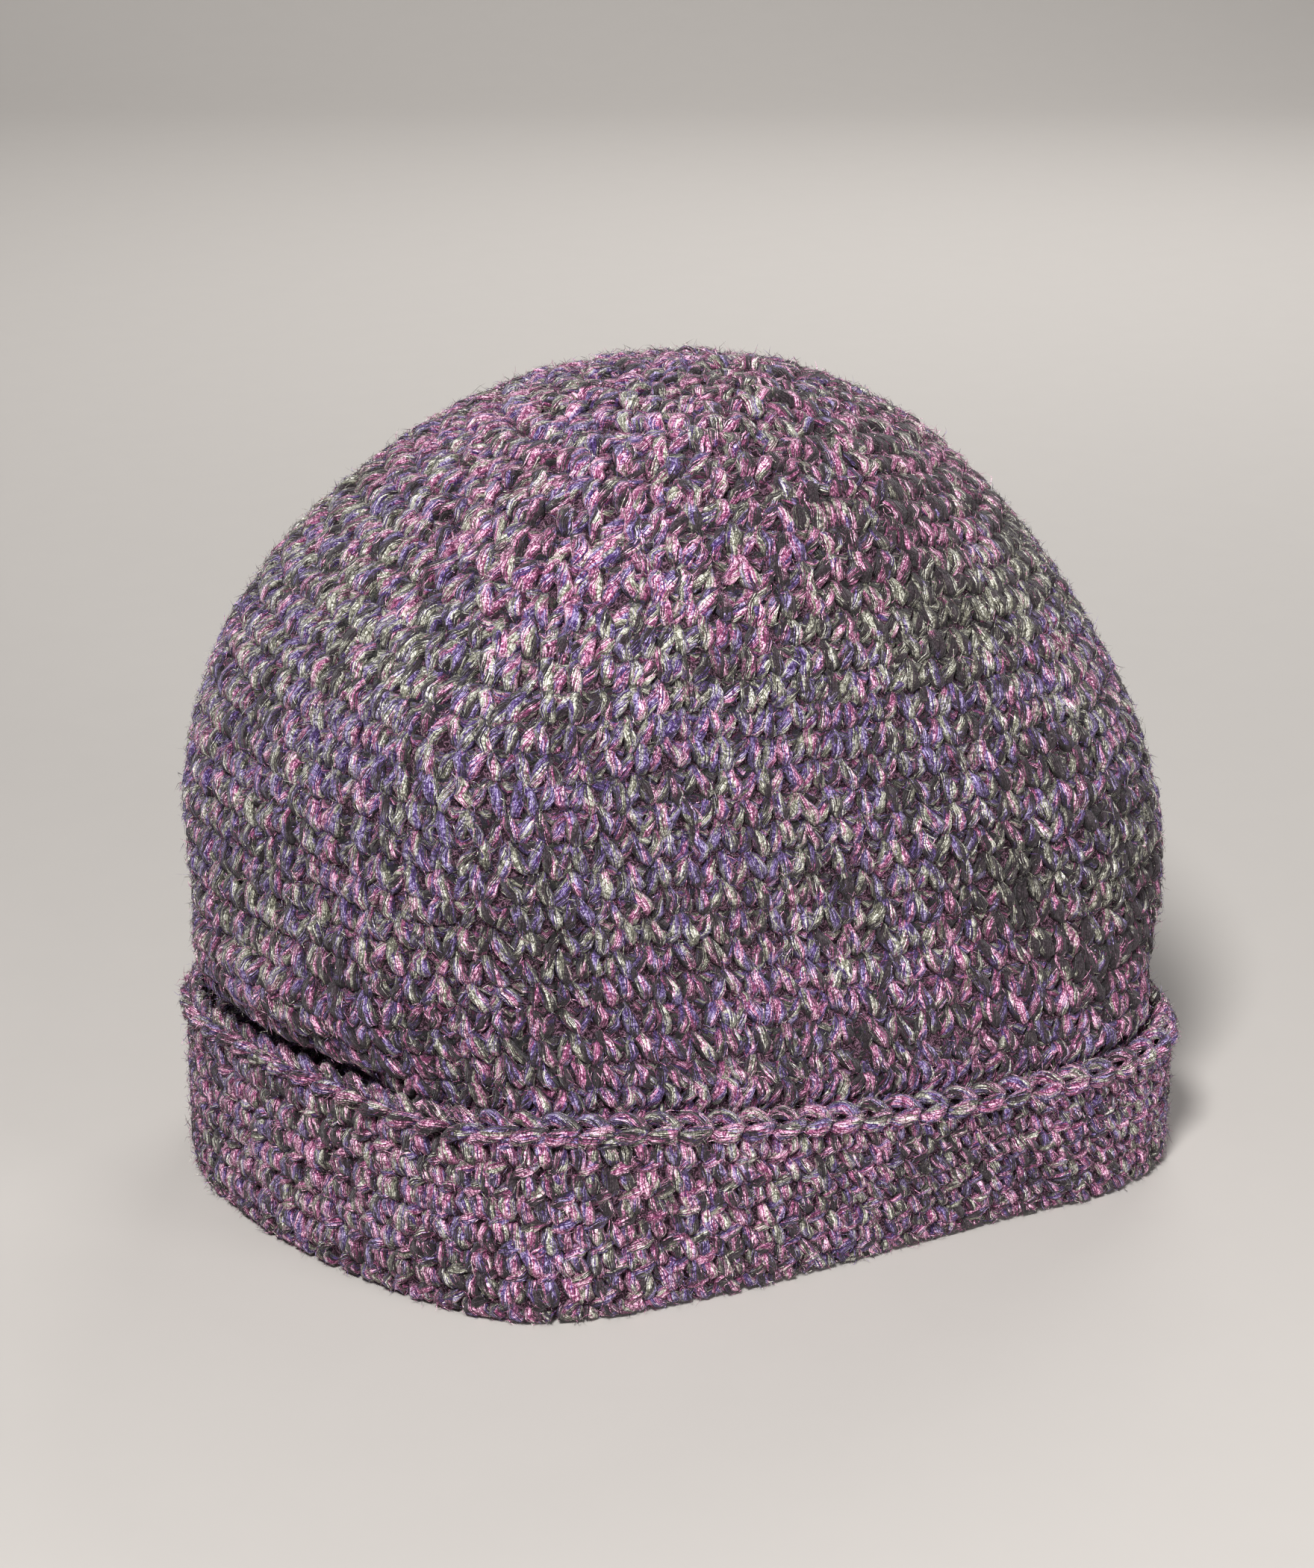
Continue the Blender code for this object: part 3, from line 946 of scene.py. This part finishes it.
def tube_faces(rings, sides):
    """The faces of one closed tube: (corner points, face sizes, ring of each corner, side of each corner).
    Its two end points come after its rings of points."""
    corners, sizes, ring_of, side_of = [], [], [], []
    for ring in range(rings - 1):
        for side in range(sides):
            ahead = (side + 1) % sides
            corners += [ring * sides + side, (ring + 1) * sides + side]
            corners += [(ring + 1) * sides + ahead, ring * sides + ahead]
            ring_of += [ring, ring + 1, ring + 1, ring]
            side_of += [side, side, side + 1, side + 1]
            sizes.append(4)
    for end, ring in ((rings * sides, 0), (rings * sides + 1, rings - 1)):
        for side in range(sides):
            ahead = (side + 1) % sides
            pair = [side, ahead] if ring == 0 else [ahead, side]
            corners += [end, ring * sides + pair[0], ring * sides + pair[1]]
            ring_of += [ring, ring, ring]
            side_of += [side + 0.5, side + (pair[0] != side), side + (pair[1] != side)]
            sizes.append(3)
    return tuple(np.array(column) for column in (corners, sizes, ring_of, side_of))


# Places on the skin of the worked yarn, for the fibres to grow from: xyz, the way along the yarn, the way
# out of it, and how far up the hat
YARN_SKIN = []


class Tubes:
    """Yarn tubes gathered into one piece."""

    def __init__(self):
        self.batches = []
        self.points = 0
        self.tubes = 0

    def add(self, paths, outward, radius, depth, sides, start, worked):
        """Tubes along these paths (tube, point, xyz). Depth is how far each point lies out of the cloth's
        face, start how many millimetres along the yarn each tube begins, and worked how far up the hat
        each is, from the edging, 0, to the closing round, 1."""
        ahead = unit(np.gradient(paths, axis=1))
        aside = unit(np.cross(ahead, outward))
        above = FLATTENED * np.cross(aside, ahead)
        angle = ((np.arange(sides) / sides - 0.25) * 2 * pi)[:, None]
        spread = np.cos(angle) * aside[:, :, None] + np.sin(angle) * above[:, :, None]
        skin = paths[:, :, None] + radius[:, :, None, None] * spread
        upper = slice(-(-sides // 4), sides * 3 // 4 + 1)
        columns = [skin[:, 1:-1, upper], ahead[:, 1:-1, None], spread[:, 1:-1, upper]]
        columns.append(worked[:, None, None, None])
        shape = columns[0].shape[:3]
        grows = [np.broadcast_to(column, (*shape, column.shape[-1])) for column in columns]
        YARN_SKIN.append(np.concatenate(grows, -1).reshape(-1, 10))
        ends = np.array([-BLUNT_END, BLUNT_END])[:, None]
        tips = paths[:, [0, -1]] + ahead[:, [0, -1]] * radius[:, [0, -1], None] * ends
        tubes, rings = paths.shape[:2]
        points = np.concatenate([skin.reshape(tubes, -1, 3), tips], axis=1)
        corners, sizes, ring_of, side_of = tube_faces(rings, sides)
        steps = np.linalg.norm(np.diff(paths, axis=1), axis=-1) / MM
        along = start[:, None] + np.concatenate([np.zeros((tubes, 1)), np.cumsum(steps, axis=1)], axis=1)
        turned = side_of / sides
        yarn = np.stack([along[:, ring_of], np.broadcast_to(turned, (tubes, len(turned)))], -1)
        strip = STRIP_MARGIN + (1 - 2 * STRIP_MARGIN) * np.stack([ring_of / (rings - 1), turned], -1)
        # How deep each corner lies under the cloth's face in millimetres, for the painted shade of the yarn's
        # material
        level = (depth[:, ring_of] - radius[:, ring_of] * FLATTENED * np.cos(turned * 2 * pi)) / MM
        place = np.stack([np.broadcast_to(worked[:, None], level.shape), level], -1)
        number = np.arange(tubes)[:, None]
        each = points.shape[1]
        corners = corners + self.points + each * number
        flat = [points.reshape(-1, 3), corners.ravel(), np.tile(sizes, tubes), yarn.reshape(-1, 2)]
        self.batches.append((*flat, place.reshape(-1, 2), self.tubes + number, strip))
        self.points += tubes * each
        self.tubes += tubes

    def build(self, name, material):
        """The piece. The strips lay its tubes out side by side without overlaps."""
        *flat, cells, strips = zip(*self.batches)
        points, corners, sizes, yarn, rounds = (np.concatenate(part) for part in flat)
        points[:, 2] = np.maximum(points[:, 2], RESTING)
        across = int(np.ceil(np.sqrt(self.tubes)))
        laid = [np.stack([cell % across, cell // across], -1) + strip for cell, strip in zip(cells, strips)]
        spread = np.concatenate([part.reshape(-1, 2) for part in laid]) / across
        layers = {"yarn": yarn, "worked": rounds, "OFBake": spread}
        return new_mesh(name, points, corners, sizes, layers, material)


def run_of(knots, count):
    """The yarn's smooth run through its knots, as one array for each column of the table. Its points are
    even along the cloth, and the way out of the cloth counts for a little too."""
    table = np.array(knots, float)
    reach = np.linalg.norm(np.diff(table[:, :2], axis=0), axis=1) + np.abs(np.diff(table[:, 2])) * OUT_COUNTS
    place = np.concatenate([[0], np.cumsum(reach)])
    wanted = np.linspace(0, place[-1], count)
    base = np.clip(np.searchsorted(place, wanted, side="right") - 1, 0, len(table) - 2)
    t = ((wanted - place[base]) / (place[base + 1] - place[base]))[:, None]
    near = [table[np.clip(base + step, 0, len(table) - 1)] for step in (-1, 0, 1, 2)]
    return smooth_between(*near, t).T


class Crochet:
    """Stitches on one cloth, in rounds that lie between these rows of it."""

    def __init__(self, cloth, rows, kind, yarn=1.0):
        sizes = bpy.context.scene.beanie_crochet
        self.cloth = cloth
        self.rows = rows
        self.width = sizes.stitch_width
        self.radius = sizes.yarn_radius * yarn
        self.uneven = sizes.unevenness
        self.random = np.random.default_rng(SEEDS[kind])

    def row(self, number):
        """The cloth's row at this round."""
        return np.interp(number, np.arange(len(self.rows)), self.rows)

    def places(self, first, last, fullest, close=1.0):
        """The stitches of rounds first to last: the turn, round and width of each, as shares of a turn. No
        round has more than the row that is fullest."""
        most = int(round(self.cloth.girth(fullest) / self.width))
        turns, rounds, widths = [], [], []
        for number in range(first, last):
            count = int(round(self.cloth.girth(self.row(number + 0.5)) / (self.width * close)))
            count = min(most, max(FEWEST, count))
            offset = 0.5 * (number % 2) + ROUND_OFFSET * self.random.standard_normal() * self.uneven
            turns.append((np.arange(count) + offset) / count)
            rounds.append(np.full(count, number + 0.5))
            widths.append(np.full(count, 1 / count))
        return np.concatenate(turns), np.concatenate(rounds), np.concatenate(widths)

    def work(self, name, slot, places, stitch, worked, wool):
        """Works a piece, every yarn of each stitch. Worked is how far up the hat each stitch is."""
        tubes = Tubes()
        for yarn in stitch:
            self.lay(tubes, places, run_of(yarn.knots, yarn.rings), yarn.sides, worked)
        ride_and_replace(tubes.build(name, yarn_material(wool)), slot)

    def lay(self, tubes, places, run, sides, worked):
        """Lays one yarn of every stitch on the cloth. The decreases towards the closing round pull the
        stitches about, so they are less even there."""
        turns, rounds, widths = places
        across, up, out, thick = run
        each = (len(turns), 1)
        pulled = np.clip((worked[:, None] - PULLED_FROM) / PULLED_OVER, 0, 1)
        uneven = self.uneven * (1 + PULLED_MORE * pulled)

        def about(usual, deviation, shape=each):
            return usual + deviation * uneven * self.random.standard_normal(shape)

        broad = about(1, DIFFER.broad)
        aside = about(0, DIFFER.aside)
        tall = about(USUAL_TALL, DIFFER.tall)
        lift = about(0, DIFFER.lift)
        proud = about(0, DIFFER.proud)
        above, below = (self.cloth.at(turns, self.row(rounds + half)) for half in (0.5, -0.5))
        height = np.linalg.norm(above - below, axis=-1)
        stretched = np.clip(height / np.median(height), *STRETCH)[:, None] ** STRETCH_POWER
        stout = stretched * about(1, DIFFER.stout)
        lean = about(USUAL_LEAN, DIFFER.lean)
        wave = about(0, DIFFER.wave, (len(turns), len(across)))
        turn = turns[:, None] + widths[:, None] * (across * broad + aside - lean * up + wave)
        row = self.row(rounds[:, None] + up * tall + lift)
        outward = self.cloth.outward(turn, row)
        depth = (out + proud) * MM - self.radius
        paths = self.cloth.at(turn, row) + outward * depth[..., None]
        start = YARN_LENGTH * self.random.random(len(turns))
        tubes.add(paths, outward, self.radius * thick * stout, depth, sides, start, worked)


def drifted(worked, turn):
    """How far on in the yarn's colours each stitch is."""
    turns, low, high = zip(*COLOUR_DRIFT)
    share = np.clip((worked - DRIFT_FROM) / DRIFT_OVER, 0, 1)
    drift = np.interp(turn, turns, low) * (1 - share) + np.interp(turn, turns, high) * share
    return worked + drift * np.clip(worked / DRIFT_BEGINS, 0, 1)


def ride_and_replace(piece, slot, *nodes):
    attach(piece, "root")
    if nodes:
        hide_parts(*nodes)


def cloth_shell(name, cloth, rows, depths, material):
    """A closed wall of cloth between two depths under its face."""
    turn, row = np.meshgrid(np.arange(WOOL_COLUMNS) / WOOL_COLUMNS, rows)
    face = cloth.at(turn, row)
    out = cloth.outward(turn, row)
    outer, inner = depths
    points = np.concatenate([face - out * outer, (face - out * inner)[::-1]])
    total = len(points)
    ring = np.arange(total)[:, None]
    side = np.arange(WOOL_COLUMNS)
    ahead = (side + 1) % WOOL_COLUMNS
    this = ring * WOOL_COLUMNS
    following = (ring + 1) % total * WOOL_COLUMNS
    quads = np.stack([this + side, this + ahead, following + ahead, following + side], -1).reshape(-1, 4)
    across = (side[:, None] + np.array([0, 1, 1, 0])) / WOOL_COLUMNS
    up = (ring[..., None] + np.array([0, 0, 1, 1])) / total
    spread = np.stack(np.broadcast_arrays(across, up), -1).reshape(-1, 2)
    sizes = np.full(len(quads), 4)
    return new_mesh(name, points.reshape(-1, 3), quads.ravel(), sizes, {"OFBake": spread}, material)


class BEANIE_OT_crown_cloth(Operator):
    """Makes the matted wool that lies under the crown's stitches and lines its hollow, coloured dark partly
    as painted shade.
    """

    bl_idname = "beanie.crown_cloth"
    bl_label = "Crown cloth"

    def execute(self, context):
        rows = np.linspace(0, crown.last - SHORT_OF_CLOSING, CROWN_WOOL_ROWS)
        piece = cloth_shell("crown_cloth", crown, rows, CROWN_WOOL, shaded_matted_material("wool in painted shade"))
        ride_and_replace(piece, "crown_yarn", "crown")
        return {"FINISHED"}


class BEANIE_OT_crown_stitches(Operator):
    """Works the crown in rounds, from behind the cuff's edge up to the closing round."""

    bl_idname = "beanie.crown_stitches"
    bl_label = "Crown stitches"

    def execute(self, context):
        rows = even_rows(crown, edging_row(), crown.last, context.scene.beanie_crochet.round_height)
        rounds = len(rows) - 1
        step = rows[1] - rows[0]
        rows = np.concatenate([[max(rows[0] - TUCKED_ROUNDS * step, 0), rows[0] - step], rows])
        crochet = Crochet(crown, rows, "crown")
        ends = [first for _, first in CROWN_BANDS[1:]] + [rounds]
        for (band, first), last in zip(CROWN_BANDS, ends):
            name = f"crown_stitches_{band}"
            places = crochet.places(first + TUCKED_ROUNDS, last + TUCKED_ROUNDS, edging_row(), CLOSE_SET)
            worked = drifted((places[1] - TUCKED_ROUNDS) / rounds * UNSEEN_ROUNDS, places[0] % 1)
            crochet.work(name, "crown_yarn", places, CROWN_STITCH, worked, f"{name} yarn")
        return {"FINISHED"}


class BEANIE_OT_inside_stitches(Operator):
    """Works the back of the crown's stitches, which lines its hollow. It comes after the loose fibres, which
    grow from the stitches outside."""

    bl_idname = "beanie.inside_stitches"
    bl_label = "Inside stitches"

    def execute(self, context):
        lining = Cloth(crown.moved_in(CROWN_WOOL[1])[:, ::-1])
        rows = even_rows(lining, 0, lining.last, context.scene.beanie_crochet.round_height)
        rounds = len(rows) - 1
        crochet = Crochet(lining, rows, "inside", INSIDE_YARN)
        places = crochet.places(0, rounds, 0)
        worked = places[1] / rounds
        crochet.work("inside_stitches", "crown_yarn", places, INSIDE_STITCH, worked, "inside yarn")
        return {"FINISHED"}


class BEANIE_OT_cuff_stitches(Operator):
    """Works the turned-up cuff, whose back of the cloth faces out, and the matted wool under its stitches,
    coloured dark partly as painted shade.
    """

    bl_idname = "beanie.cuff_stitches"
    bl_label = "Cuff stitches"

    def execute(self, context):
        rows = even_rows(cuff, 0, cuff.last, context.scene.beanie_crochet.cuff_round_height)
        crochet = Crochet(cuff, rows, "cuff", CUFF_YARN)
        places = crochet.places(0, len(rows) - 1, cuff.last)
        crochet.uneven *= CUFF_UNEVENNESS
        crochet.work("cuff_stitches", "cuff_yarn", places, CUFF_STITCH, 0 * places[1], "cuff yarn")
        rows = np.linspace(0, cuff.last, CUFF_WOOL_ROWS)
        wool = shaded_matted_material("cuff's wool in painted shade")
        ride_and_replace(cloth_shell("cuff_cloth", cuff, rows, CUFF_WOOL, wool), "cuff_yarn", "cuff")
        return {"FINISHED"}


class BEANIE_OT_edging_chain(Operator):
    """Lays the chain of loops along the cuff's top."""

    bl_idname = "beanie.edging_chain"
    bl_label = "Edging chain"

    def execute(self, context):
        sizes = context.scene.beanie_crochet
        random = np.random.default_rng(SEEDS["edging"])
        middle = rim.edging[:, :3]
        length = lengthwise(np.concatenate([middle, middle[:1]]))[-1]
        count = int(round(length / (sizes.stitch_width * CHAIN_PITCH)))
        ahead = way_ahead(middle)
        face = rim.out * np.sin(CHAIN_TILT) + np.array([0, 0, np.cos(CHAIN_TILT)])
        tubes = Tubes()
        for strand in CHAIN:
            along, aside, rise, thick = run_of(strand.links, CHAIN_RINGS)
            uneven = 1 + CHAIN_UNEVENNESS * sizes.unevenness * random.standard_normal((count, 1))
            turn = (np.arange(count)[:, None] + along * uneven) / count
            up = unit(read_round(face, turn))
            sideways = np.cross(read_round(ahead, turn), up)
            half = rim.edging[beside(turn, READ_COLUMNS)[0], 3]
            reach = strand.side * CHAIN_WIDTH * aside * half
            paths = read_round(middle, turn) + sideways * reach[..., None] + up * (rise * CHAIN_RISE)[:, None]
            start = YARN_LENGTH * random.random(count)
            radius = np.broadcast_to(sizes.yarn_radius * strand.stout * thick, paths.shape[:2])
            # The chain's depth, for its painted shade
            depth = np.broadcast_to((rise - 1) * MM, paths.shape[:2])
            tubes.add(paths, up, radius, depth, CHAIN_SIDES, start, np.zeros(count))
        piece = tubes.build("edging_chain", yarn_material("edging yarn"))
        ride_and_replace(piece, "edging_yarn", "cuff_edging")
        return {"FINISHED"}


# How the fibres of one piece lie: their share of the number, how many halves each has, the longest as a
# share of the fibre length, and how steeply they leave the yarn
FibreKind = namedtuple("FibreKind", "name share halves longest lowest highest")
FIBRE_KINDS = (
    FibreKind("fibres_of_the_haze", 0.090, 2, 1.00, 0.10, 0.80),
    FibreKind("fibres_along_the_yarn", 0.515, 1, 0.62, 0.06, 0.30),
    FibreKind("fibre_ends", 0.395, 1, 0.36, 0.10, 0.60),
)

# How a fibre strays from its place along and across the yarn, in millimetres, and from the yarn's way, how
# long the shortest one is beside the longest, and how far its root is sunk
STRAY_ALONG = 0.5
STRAY_ACROSS = 0.35
STRAY_HEADING = 0.55
SHORTEST = 0.35
SUNK = 0.03 * MM

# How a fibre of two halves curls aside and droops, and how wide it still is halfway
CURL = 0.7
DROOP = 0.7
HALFWAY_WIDTH = 0.8

# Each fibre gets the painted shade that the yarn has this many millimetres out of the cloth's face, and
# begins this many turns or fewer round it.
FIBRE_SHADE_DEPTH = -0.4
FIBRE_TURNS = 40


class BEANIE_OT_loose_fibres(Operator):
    """Grows fine loose fibres out of the worked yarn."""

    bl_idname = "beanie.loose_fibres"
    bl_label = "Loose fibres"

    def execute(self, context):
        if not YARN_SKIN:
            raise RuntimeError("The stitches have to be worked before fibres can grow out of them")
        fibres = context.scene.beanie_fibres
        random = np.random.default_rng(SEEDS["fibres"])
        material = yarn_material("loose fibre", streaks=1.0, bump=0.01 * MM)
        number = fibres.number
        skin = np.concatenate(YARN_SKIN)
        for kind in FIBRE_KINDS:
            chosen = skin[random.integers(0, len(skin), int(number * kind.share))]
            ride_and_replace(self.piece(kind, fibres, chosen, random, material), "crown_yarn")
        return {"FINISHED"}

    def piece(self, kind, fibres, skin, random, material):
        """The fibres of one kind, each with its root on a place of the yarn's skin."""
        root, ahead, out, worked = np.split(skin, (3, 6, 9), axis=1)
        each = (len(root), 1)
        out = unit(out)
        aside = np.cross(ahead, out)
        heading = random.standard_normal(each) * STRAY_HEADING + pi * random.integers(0, 2, each)
        strayed = ahead * random.standard_normal(each) * STRAY_ALONG
        strayed += aside * random.standard_normal(each) * STRAY_ACROSS
        root = root + strayed * MM - out * SUNK
        flat = ahead * np.cos(heading) + aside * np.sin(heading)
        rise = kind.lowest + (kind.highest - kind.lowest) * random.random(each) ** 2
        length = fibres.length * kind.longest * (SHORTEST + (1 - SHORTEST) * random.random(each))
        first = flat * (1 - rise) + out * rise
        side = unit(np.cross(first, random.standard_normal((len(root), 3)))) * fibres.width / 2
        if kind.halves == 2:
            curl = np.cross(flat, out) * random.standard_normal(each) * CURL
            halfway = root + first * length * 0.5
            tip = halfway + (first + curl - out * DROOP * rise) * length * 0.5
            middle = [halfway - side * HALFWAY_WIDTH, halfway + side * HALFWAY_WIDTH]
            points = np.stack([root - side, root + side, *middle, tip], 1)
            faces, sizes = [0, 1, 3, 2, 2, 3, 4], [4, 3]
            strip = [[0.1, 0.1], [0.9, 0.1], [0.9, 0.5], [0.1, 0.5], [0.1, 0.5], [0.9, 0.5], [0.5, 0.9]]
        else:
            points = np.stack([root - side, root + side, root + first * length], 1)
            faces, sizes = [0, 1, 2], [3]
            strip = [[0.1, 0.1], [0.9, 0.1], [0.5, 0.9]]
        points[..., 2] = np.maximum(points[..., 2], LOWEST_FIBRE)
        number = np.arange(len(root))
        corners = (np.array(faces) + points.shape[1] * number[:, None]).ravel()
        place = YARN_LENGTH * random.random(each) + np.zeros(len(faces))
        around = FIBRE_TURNS * random.random(each) + np.zeros(len(faces))
        across = int(np.ceil(np.sqrt(len(root))))
        cell = np.stack([number % across, number // across], -1)[:, None]
        layers = {
            "yarn": np.stack([place, around], -1).reshape(-1, 2),
            "worked": np.repeat(np.concatenate([worked, 0 * worked + FIBRE_SHADE_DEPTH], -1), len(faces), axis=0),
            "OFBake": ((cell + np.array(strip)) / across).reshape(-1, 2),
        }
        sizes = np.tile(sizes, len(root))
        return new_mesh(kind.name, points.reshape(-1, 3), corners, sizes, layers, material)


# The floor's faint grain, in repeats to the metre, and how dark it is beside the floor
GRAIN = 60.0
GRAIN_SHADE = 0.97


def floor_material(colour):
    material, tree, shader = new_material("plain pale floor", {"Roughness": 0.9})
    where = add_node(tree, "TexCoord").outputs["Object"]
    low = tuple(part * GRAIN_SHADE for part in colour)
    grain = speckle(tree, where, GRAIN, 4.0)
    tree.links.new(blend(tree, grain, (*low, 1), (*colour, 1)), shader.inputs["Base Color"])
    return material


# Softboxes round the hat: metres from the middle of its foot to the camera's right, towards the camera and
# up, the width, and the power in watts
Softbox = namedtuple("Softbox", "name right front up width power")
SOFTBOXES = (
    Softbox("key", -0.19, 0.79, 0.92, 0.26, 18.1),
    Softbox("fill", 1.00, 0.80, 0.19, 0.44, 9.2),
    Softbox("back", 0.35, -1.10, 0.90, 0.80, 6.5),
)

# The light of the backdrop, in metres from the camera's aim: where it hangs and what it points at, towards
# the camera and up. Then the air's own light.
BACKDROP_LIGHT = Softbox("backdrop", 0.0, -0.7, 1.1, 0.8, 9.0)
BACKDROP_AIM = (-1.9, 0.35)
AIR_COLOUR = (0.92, 0.94, 1.0, 1)
AIR_STRENGTH = 0.12

# The floor: how far it runs towards the camera and away from it, the bend behind it with its steps, how high
# the backdrop is, and how far both run to each side
FLOOR_NEAR = 3.0
FLOOR_FAR = 1.4
BEND = 0.6
BEND_STEPS = 16
BACKDROP_HEIGHT = 3.0
FLOOR_SIDE = 4.0

# Width of the camera's sensor in millimetres
SENSOR = 36


def add_softbox(box, place, aim):
    lamp = bpy.data.lights.new(box.name, "AREA")
    lamp.shape = "DISK"
    lamp.size = box.width
    lamp.energy = box.power
    holder = bpy.data.objects.new(box.name, lamp)
    holder.location = place
    holder.rotation_mode = "QUATERNION"
    holder.rotation_quaternion = (aim - place).to_track_quat("-Z", "Y")
    bpy.context.scene.collection.objects.link(holder)


class BEANIE_OT_studio(Operator):
    """Sets the floor with its curved backdrop, the lights and the camera."""

    bl_idname = "beanie.studio"
    bl_label = "Studio"

    def execute(self, context):
        stage = context.scene.beanie_stage
        aim = Vector(stage.aim)
        turn = np.radians(stage.turn)
        rise = np.radians(stage.rise)
        back = Vector((np.sin(turn) * np.cos(rise), -np.cos(turn) * np.cos(rise), np.sin(rise)))
        self.sweep(stage, turn)
        camera = bpy.data.objects.new("camera", bpy.data.cameras.new("camera"))
        camera.data.lens = stage.lens
        camera.data.sensor_width = SENSOR
        camera.location = aim + back * stage.distance
        camera.rotation_mode = "QUATERNION"
        camera.rotation_quaternion = (-back).to_track_quat("-Z", "Y")
        context.scene.collection.objects.link(camera)
        context.scene.camera = camera
        right = Vector((np.cos(turn), np.sin(turn), 0))
        front = Vector((np.sin(turn), -np.cos(turn), 0))
        up = Vector((0, 0, 1))
        for box in SOFTBOXES:
            add_softbox(box, front * box.front + right * box.right + up * box.up, aim)
        box = BACKDROP_LIGHT
        beyond = aim + front * BACKDROP_AIM[0] + up * BACKDROP_AIM[1]
        add_softbox(box, aim + front * box.front + up * box.up, beyond)
        world = bpy.data.worlds.new("studio air")
        world.use_nodes = True
        air = world.node_tree.nodes["Background"]
        air.inputs["Color"].default_value = AIR_COLOUR
        air.inputs["Strength"].default_value = AIR_STRENGTH
        context.scene.world = world
        context.scene.view_settings.view_transform = "Standard"
        return {"FINISHED"}

    def sweep(self, stage, turn):
        """A floor that curves up into a backdrop behind the hat."""
        away = Vector((-np.sin(turn), np.cos(turn), 0))
        right = Vector((np.cos(turn), np.sin(turn), 0))
        angles = np.linspace(0, pi / 2, BEND_STEPS + 1)
        profile = [(-FLOOR_NEAR, 0.0)]
        profile += [(FLOOR_FAR + BEND * np.sin(angle), BEND * (1 - np.cos(angle))) for angle in angles]
        profile.append((FLOOR_FAR + BEND, BACKDROP_HEIGHT))
        sides = (-FLOOR_SIDE, FLOOR_SIDE)
        points = np.array([away * y + right * x + Vector((0, 0, z)) for y, z in profile for x in sides])
        corners = np.arange(0, len(points) - 2, 2)[:, None] + np.array([0, 1, 3, 2])
        material = floor_material(tuple(stage.floor_colour))
        return new_mesh("floor", points, corners.ravel(), np.full(len(corners), 4), {}, material)


SETTINGS = {
    "beanie_crochet": CrochetSizes,
    "beanie_colours": YarnColours,
    "beanie_fibres": LooseFibres,
    "beanie_stage": StudioStage,
}
OPERATORS = (
    BEANIE_OT_crown_cloth,
    BEANIE_OT_crown_stitches,
    BEANIE_OT_cuff_stitches,
    BEANIE_OT_edging_chain,
    BEANIE_OT_loose_fibres,
    BEANIE_OT_inside_stitches,
    BEANIE_OT_studio,
)


class BEANIE_PT_making(Panel):
    """Sizes, colours and steps of making the beanie."""

    bl_label = "Crocheted beanie"
    bl_idname = "BEANIE_PT_making"
    bl_space_type = "VIEW_3D"
    bl_region_type = "UI"
    bl_category = "Beanie"

    def draw(self, context):
        for attribute, group in SETTINGS.items():
            box = self.layout.box()
            settings = getattr(context.scene, attribute)
            for name in group.__annotations__:
                box.prop(settings, name)
        for operator in OPERATORS:
            self.layout.operator(operator.bl_idname)


def register():
    for group in (*SETTINGS.values(), *OPERATORS, BEANIE_PT_making):
        bpy.utils.register_class(group)
    for attribute, group in SETTINGS.items():
        setattr(bpy.types.Scene, attribute, PointerProperty(type=group))


def unregister():
    for attribute in SETTINGS:
        delattr(bpy.types.Scene, attribute)
    for group in (BEANIE_PT_making, *reversed(OPERATORS), *reversed(SETTINGS.values())):
        bpy.utils.unregister_class(group)


def main():
    register()
    bpy.ops.beanie.crown_cloth()
    bpy.ops.beanie.crown_stitches()
    bpy.ops.beanie.cuff_stitches()
    bpy.ops.beanie.edging_chain()
    bpy.ops.beanie.loose_fibres()
    bpy.ops.beanie.inside_stitches()
    bpy.ops.beanie.studio()


if __name__ == "__main__":
    main()
